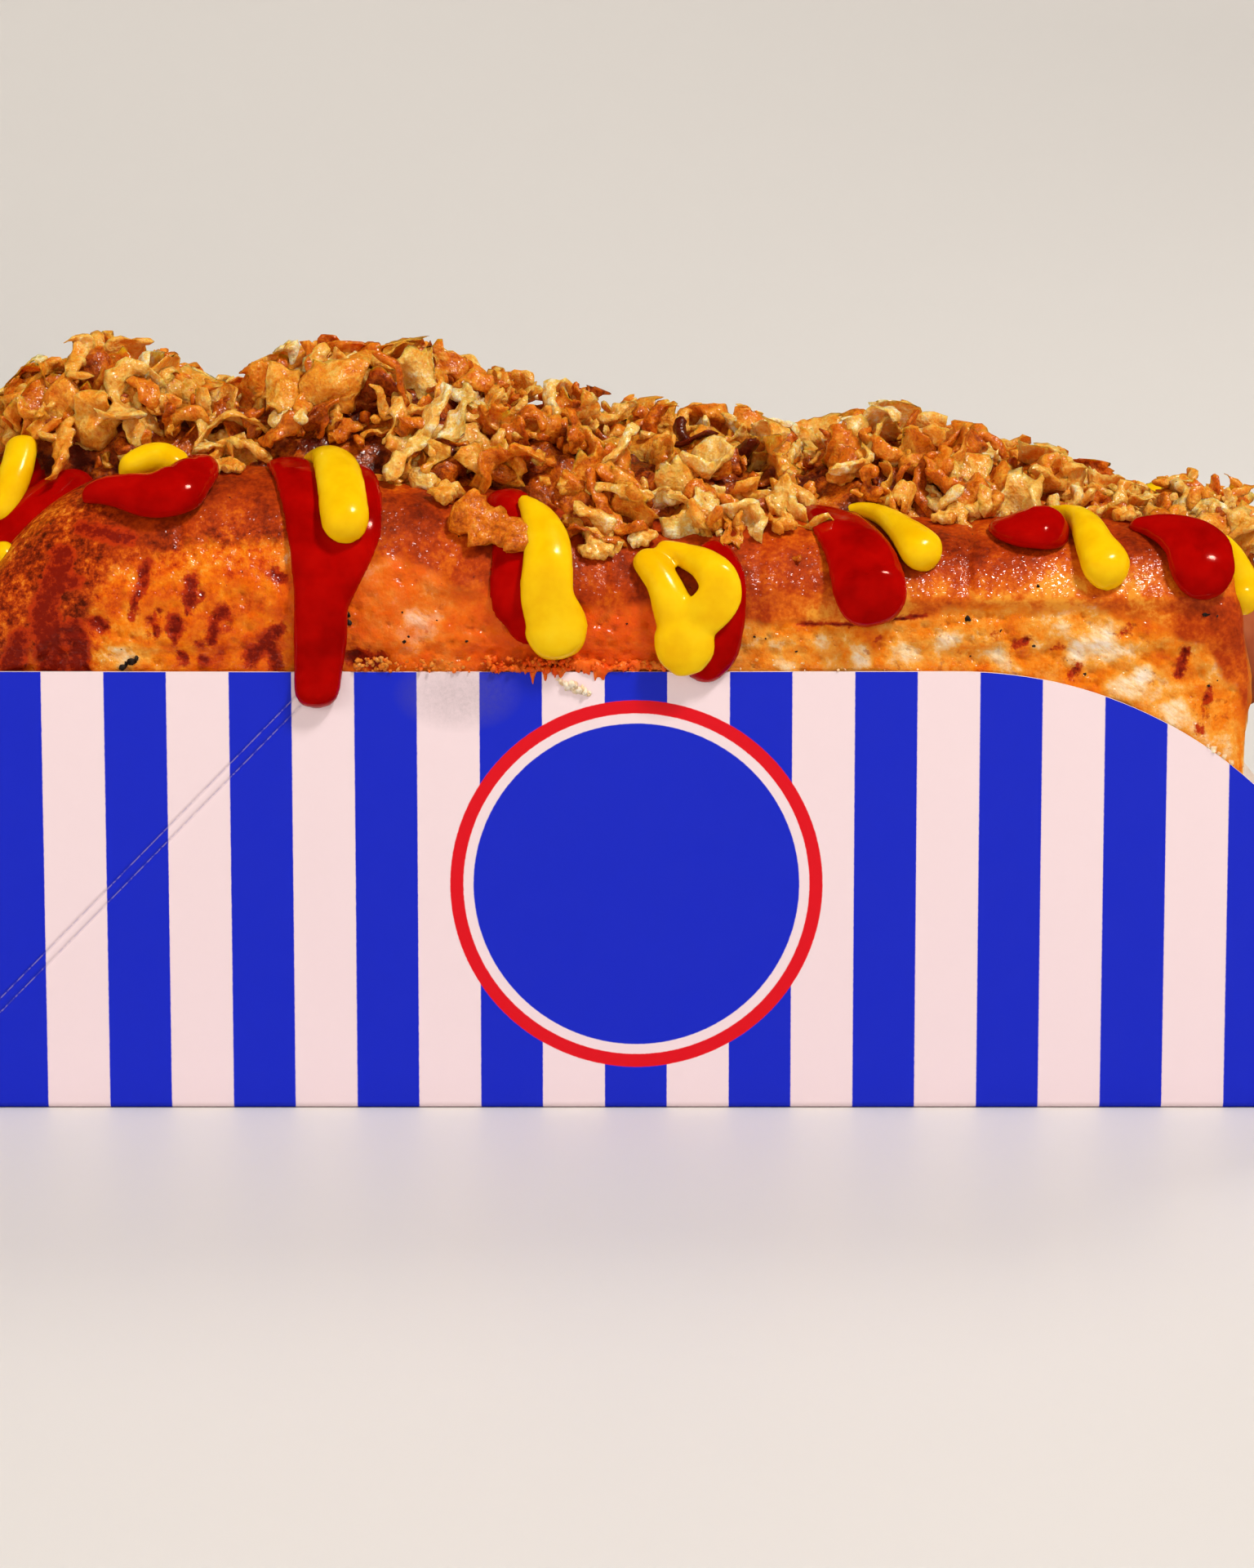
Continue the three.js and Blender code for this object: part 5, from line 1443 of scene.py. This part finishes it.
# %% Finish of the crumbs, the edge and the specks
soaked_crumb, tree = new_material("brioche crumb soaked with ketchup")
place = add(tree, "TexCoord", output="Object")
CRUMB_TONES = [
    (0.0, "#E04A0C"), (0.25, "#EC6C1C"), (0.5, "#D88028"), (0.75, "#E8AC62"), (1.0, "#FBE8CC"),
]
own_tint = add(tree, "Attribute", output="Fac", attribute_name="tint")
mottled = spread(add(tree, "TexNoise", lumps_of(0.7, 3, 0.7)), 0.5)
tone = add(tree, "Math", {0: own_tint, 1: mottled}, operation="ADD")
crumb_tone = add(tree, "ValToRGB", {0: tone}, stops=CRUMB_TONES)
finish_material(
    tree, Base_Color=crumb_tone, Roughness=0.35,
    Specular_IOR_Level=0.4, Specular_Tint=linear("#FFD2A0"),
    Subsurface_Weight=0.2, Subsurface_Radius=(1.0, 0.4, 0.15), Subsurface_Scale=0.8 * MM,
)
put_values(fringe_mesh, "tint", 0.16 + 0.35 * rough(points_of(fringe_mesh), 1.5, 2, seed=167))
make_piece(crumb_mesh, "roll", None, soaked_crumb)
make_piece(fringe_mesh, "roll", "roll", soaked_crumb)

pepper, tree = new_material("ground pepper and char")
place = add(tree, "TexCoord", output="Object")
PEPPER_STOPS = [(0.35, "#140D09"), (0.7, "#3B2A1E")]
pepper_tone = add(tree, "ValToRGB", {0: add(tree, "TexNoise", lumps_of(0.4, 2))}, stops=PEPPER_STOPS)
finish_material(tree, Base_Color=pepper_tone, Roughness=0.6, Specular_IOR_Level=0.2)
make_piece(speck_mesh, "roll", None, pepper)

# %% [markdown]
# ## The paper case
# White coated board, printed, scored and folded. The long walls and the floor are one strip bent round
# two folds; the end wall turns the left corners. Modelling it as a flat sheet that is bent first and
# given its thickness last, by a Solidify modifier, keeps the board the same thickness everywhere, as a
# real one is. The diagonal score that lets the case fold flat is cut into the sheet as rows of edges
# and pressed in.

# %% Sheet of the case
END_STRETCH = 1.093
SCORE = {"start": (-84.7, 0.0), "angle": math.radians(45.6), "apart": 1.1, "deep": 0.14}
FOLD_STEPS = 6


def trough():
    """Rows along X of the strip that makes one long wall, the floor and the other long wall."""
    fold = CASE["fold"]
    straight = np.linspace(LEFT + fold, ARC_CENTRE_X, 60)
    arc = ARC_CENTRE_X + CASE["height"] * np.sin(np.linspace(0, math.radians(88.6), 50)[1:])
    rows = []
    turn = np.linspace(0, math.pi / 2, FOLD_STEPS)
    for x in [*straight, *arc]:
        top = max(float(wall_top(x)), fold + 0.35)
        heights = fold + (top - fold) * (1 - np.linspace(0, 1, 14)[:-1])
        half = [(HALF_WIDTH, z) for z in heights]
        half += [(HALF_WIDTH - fold * (1 - math.cos(t)), fold * (1 - math.sin(t))) for t in turn]
        half += [(y, 0.0) for y in (24.0, 18.0, 12.0, 6.0)]
        ring = [(-y, z) for y, z in half] + [(0.0, 0.0)] + half[::-1]
        rows.append([(x, y, z) for y, z in ring])
    return np.array(rows)


def end_wall():
    """Rows of the end wall, with a rounded fold into each long wall."""
    fold = CASE["fold"]
    turn = np.linspace(0, math.pi / 2, FOLD_STEPS)
    plan = [(LEFT + fold * (1 - math.sin(t)), -HALF_WIDTH + fold * (1 - math.cos(t))) for t in turn]
    plan += [(LEFT, y) for y in np.linspace(-HALF_WIDTH + fold, HALF_WIDTH - fold, 24)[1:-1]]
    plan += [(LEFT + fold * (1 - math.cos(t)), HALF_WIDTH - fold * (1 - math.sin(t))) for t in turn]
    heights = np.linspace(CASE["height"], 0.15, 18)
    return np.array([[(x, y, z) for z in heights] for x, y in plan])


long_strip, left_end = trough(), end_wall()
sheet_points = np.concatenate([part.reshape(-1, 3) for part in (long_strip, left_end)])
sheet_faces = grid_faces(*long_strip.shape[:2]).tolist()
end_faces = grid_faces(*left_end.shape[:2], first=long_strip[..., 0].size).tolist()
sheet_faces += [face[::-1] for face in end_faces]
case_mesh = make_mesh("paper_case_board", sheet_points, sheet_faces)
print("sheet of", len(sheet_points), "points")

# %% Score and bow
score_way = np.array([math.cos(SCORE["angle"]), math.sin(SCORE["angle"])])
score_across = np.array([-score_way[1], score_way[0]])


def from_score(points):
    """Distance from the middle of the diagonal score, positive above it."""
    return (points[:, [0, 2]] - np.array(SCORE["start"])) @ score_across


# Edges are cut close together across the two pressed lines, and wider apart beside them.
SCORE_CUTS = (-1.5, -1.0, -0.8, -0.65, -0.55, -0.45, -0.3, 0, 0.3, 0.45, 0.55, 0.65, 0.8, 1.0, 1.5)
sheet = bmesh.new()
sheet.from_mesh(case_mesh)
for offset in SCORE_CUTS:
    long_walls = [face for face in sheet.faces if abs(face.calc_center_median().y) > OUTER_FACE * MM]
    geometry = long_walls + list({e for face in long_walls for e in face.edges})
    geometry += list({v for face in long_walls for v in face.verts})
    on_line = np.array(SCORE["start"]) + offset * score_across
    bmesh.ops.bisect_plane(
        sheet, geom=geometry, dist=1e-7, plane_co=(on_line[0] * MM, 0, on_line[1] * MM),
        plane_no=(score_across[0], 0, score_across[1]),
    )
sheet.to_mesh(case_mesh)
sheet.free()

points = points_of(case_mesh)
x, y, z = points.T
# The print is a little stretched on the end wall, where a blue stripe sits in the middle.
flat_length = np.where(x < LEFT + CASE["fold"], LEFT - END_STRETCH * (HALF_WIDTH - np.abs(y)), x)
on_wall = np.abs(y) > OUTER_FACE
off = from_score(points)
press = SCORE["deep"] * ridge(np.abs(off) - SCORE["apart"] / 2, 0.16)
press = np.where(on_wall & (z > 1) & (off > -2) & (off < 2), press, 0)
bow = 0.3 * np.sin(math.pi * np.clip((x - LEFT) / 130, 0, 1)) * smooth((z - 6) / 44)
bow = bow + 0.12 * lumps(points, 45, seed=141) * smooth((z - 4) / 20)
bow *= smooth((np.abs(y) - HALF_WIDTH + CASE["fold"]) / CASE["fold"])
points[:, 1] += np.sign(y) * (bow - press)
set_points(case_mesh, points)
put_values(case_mesh, "flat_length", flat_length)
print("walls bow by up to", round(float(bow.max()), 2), "mm")

# %% Thickness of the board
# It is applied, so that the cut edges can be marked sharp and the printed face stays flat.
sheet_object = bpy.data.objects.new("sheet", case_mesh)
bpy.context.scene.collection.objects.link(sheet_object)
for _ in range(3):
    case_mesh.materials.append(None)
thicken = sheet_object.modifiers.new("board", "SOLIDIFY")
thicken.thickness = CASE["board"] * MM
thicken.offset = -1
thicken.use_even_offset = True
thicken.material_offset = 1
thicken.material_offset_rim = 2
bpy.context.view_layer.update()
evaluated = sheet_object.evaluated_get(bpy.context.evaluated_depsgraph_get())
board_mesh = bpy.data.meshes.new_from_object(evaluated)
bpy.data.objects.remove(sheet_object)
board_mesh.name = "folded_paper_case"
board_mesh.shade_smooth()
board_mesh.set_sharp_from_angle(angle=math.radians(50))

print("board of", len(board_mesh.vertices), "points")

# %% Cut edge and inside of the board
board_edge, tree = new_material("cut edge of white board")
finish_material(tree, Base_Color=linear("#F1ECE8"), Roughness=0.8)
board_inside, tree = new_material("uncoated inside of white board")
place = add(tree, "TexCoord", output="Object")
PULP_STOPS = [(0.3, "#D9D2CB"), (0.7, "#EAE4DE")]
pulp_colour = add(tree, "ValToRGB", {0: add(tree, "TexNoise", lumps_of(1.2, 4))}, stops=PULP_STOPS)
finish_material(tree, Base_Color=pulp_colour, Roughness=0.85)

# %% [markdown]
# ### Offset print on coated board
# A clay coating makes the board smooth and slightly shiny. The stripes are 7 mm wide and run round the
# corner onto the end wall, so they follow the length along the unfolded sheet, which is stored on its
# points. The round badge is three plain fields of colour. Ink cracks pale along the diagonal score,
# and fat from the roll has left a grey smear under the rim. Each is one more layer over the white.
# Painted shade darkens the pressed crease too.

# %% Stripes and badge
STRIPE = 7.02
BLUE_MIDDLE = -1.1
BADGE = {"middle": (-1.04, 0, 25.8), "disc": 18.37, "white": 19.5, "red": 21.0}
INK_SOFTNESS = 0.05

printed, tree = new_material("offset print on coated board")
place = add(tree, "TexCoord", output="Object")
in_mm = add(tree, "VectorMath", {0: place, 3: 1 / MM}, operation="SCALE")
wobble = spread(add(tree, "TexNoise", lumps_of(0.5, 2)), 0.08)


def inside(distance, limit):
    """1 where the distance is under the limit and 0 beyond, with the soft edge of ink."""
    uneven = add(tree, "Math", {0: distance, 1: wobble}, operation="ADD")
    ends = {"From Min": limit - INK_SOFTNESS, "From Max": limit + INK_SOFTNESS}
    return add(tree, "MapRange", {"Value": uneven, "To Min": 1.0, "To Max": 0.0} | ends)


white_ink, blue_ink, red_ink = linear("#F2DDE2"), linear("#0E24CA"), linear("#E00218")
along_sheet = add(tree, "Attribute", output="Fac", attribute_name="flat_length")
from_blue = add(tree, "Math", {0: along_sheet, 1: BLUE_MIDDLE}, operation="SUBTRACT")
from_blue = add(tree, "Math", {0: from_blue, 1: STRIPE}, operation="PINGPONG")
on_face = add(tree, "VectorMath", {0: in_mm, 1: (1, 0, 1)}, operation="MULTIPLY")
from_badge = add(tree, "VectorMath", {0: on_face, 1: BADGE["middle"]}, output="Value", operation="DISTANCE")
layers = [(inside(from_blue, STRIPE / 2), blue_ink, "MIX")]
for ring, ink in (("red", red_ink), ("white", white_ink), ("disc", blue_ink)):
    layers.append((inside(from_badge, BADGE[ring]), ink, "MIX"))
print("badge", 2 * BADGE["red"], "mm across")

# %% Cracked ink, and painted shade in the crease along the two score lines
LONG_WALL = 25.5
CRACKS_END = 48.6
sideways = add(tree, "SeparateXYZ", {0: in_mm}, output="Y")
upward = add(tree, "SeparateXYZ", {0: in_mm}, output="Z")
score_start = (SCORE["start"][0], 0, SCORE["start"][1])
score_normal = (float(score_across[0]), 0, float(score_across[1]))
line_off = add(tree, "VectorMath", {0: in_mm, 1: score_start}, operation="SUBTRACT")
line_off = add(tree, "VectorMath", {0: line_off, 1: score_normal}, output="Value", operation="DOT_PRODUCT")
line_off = add(tree, "Math", {0: line_off}, operation="ABSOLUTE")
line_off = add(tree, "Math", {0: line_off, 1: SCORE["apart"] / 2}, operation="SUBTRACT")
line_off = add(tree, "Math", {0: line_off}, operation="ABSOLUTE")

outward = add(tree, "Math", {0: sideways}, operation="ABSOLUTE")
on_long_wall = add(tree, "Math", {0: outward, 1: LONG_WALL}, operation="GREATER_THAN")
below_rim = add(tree, "Math", {0: upward, 1: CRACKS_END}, operation="LESS_THAN")
flaked = add(tree, "Math", {0: add(tree, "TexNoise", lumps_of(0.9)), 1: 0.47}, operation="GREATER_THAN")
flaked = add(tree, "Math", {0: 0.25, 1: flaked}, operation="ADD")
crack = add(tree, "Math", {0: inside(line_off, 0.05), 1: flaked}, operation="MULTIPLY", use_clamp=True)
for share in (below_rim, on_long_wall, 0.5):
    crack = add(tree, "Math", {0: crack, 1: share}, operation="MULTIPLY")
# A grey multiplied along the crease paints shade into it.
painted_crease_shade = inside(line_off, 0.2)
for share in (on_long_wall, 0.16):
    painted_crease_shade = add(tree, "Math", {0: painted_crease_shade, 1: share}, operation="MULTIPLY")
layers += [(crack, linear("#B5A5D0"), "MIX"), (painted_crease_shade, linear("#8F7C86"), "MULTIPLY")]
print(len(layers), "layers with the cracks and the crease")

# %% A smear of fat and crumbs below the rim on the front wall
SMEAR = {"middle": (-21.0, 0, 47.5), "shrink": (1 / 7.5, 0, 1 / 4.5), "wall": -25.0}
from_smear = add(tree, "VectorMath", {0: in_mm, 1: SMEAR["middle"]}, operation="SUBTRACT")
from_smear = add(tree, "VectorMath", {0: from_smear, 1: SMEAR["shrink"]}, operation="MULTIPLY")
squared = add(tree, "VectorMath", {0: from_smear, 1: from_smear}, output="Value", operation="DOT_PRODUCT")
smear = add(tree, "Math", {0: 1.0, 1: squared}, operation="SUBTRACT", use_clamp=True)
in_front = add(tree, "Math", {0: sideways, 1: SMEAR["wall"]}, operation="LESS_THAN")
for share in (in_front, add(tree, "TexNoise", lumps_of(0.45, 4, 0.8)), 0.55):
    smear = add(tree, "Math", {0: smear, 1: share}, operation="MULTIPLY")
layers.append((smear, linear("#6E6468"), "MIX"))

# %% Finish of the printed board
colour = white_ink
for share, ink, kind in layers:
    colour = add(
        tree, "Mix", {0: share, 6: colour, 7: ink}, output=2, data_type="RGBA", blend_type=kind
    )
sheen = add(tree, "TexNoise", lumps_of(3.0, 4))
gloss = add(tree, "Math", {0: sheen, 1: 0.14, 2: 0.3}, operation="MULTIPLY_ADD")
paper_grain = add(tree, "TexNoise", lumps_of(0.6, 4))
bump = add(tree, "Bump", {"Strength": 0.08, "Distance": 0.05 * MM, "Height": paper_grain})
finish_material(tree, Base_Color=colour, Roughness=gloss, Normal=bump, Specular_IOR_Level=0.25)
print(len(layers), "layers over the white")

for slot, finish in enumerate((printed, board_inside, board_edge)):
    board_mesh.materials[slot] = finish
make_piece(board_mesh, "printed_board", "paper_case")

# %% [markdown]
# ## Last step
# The view layer is brought up to date. The looks have to stay within the imported model's box.

# %% Update the view layer
bpy.context.view_layer.update()
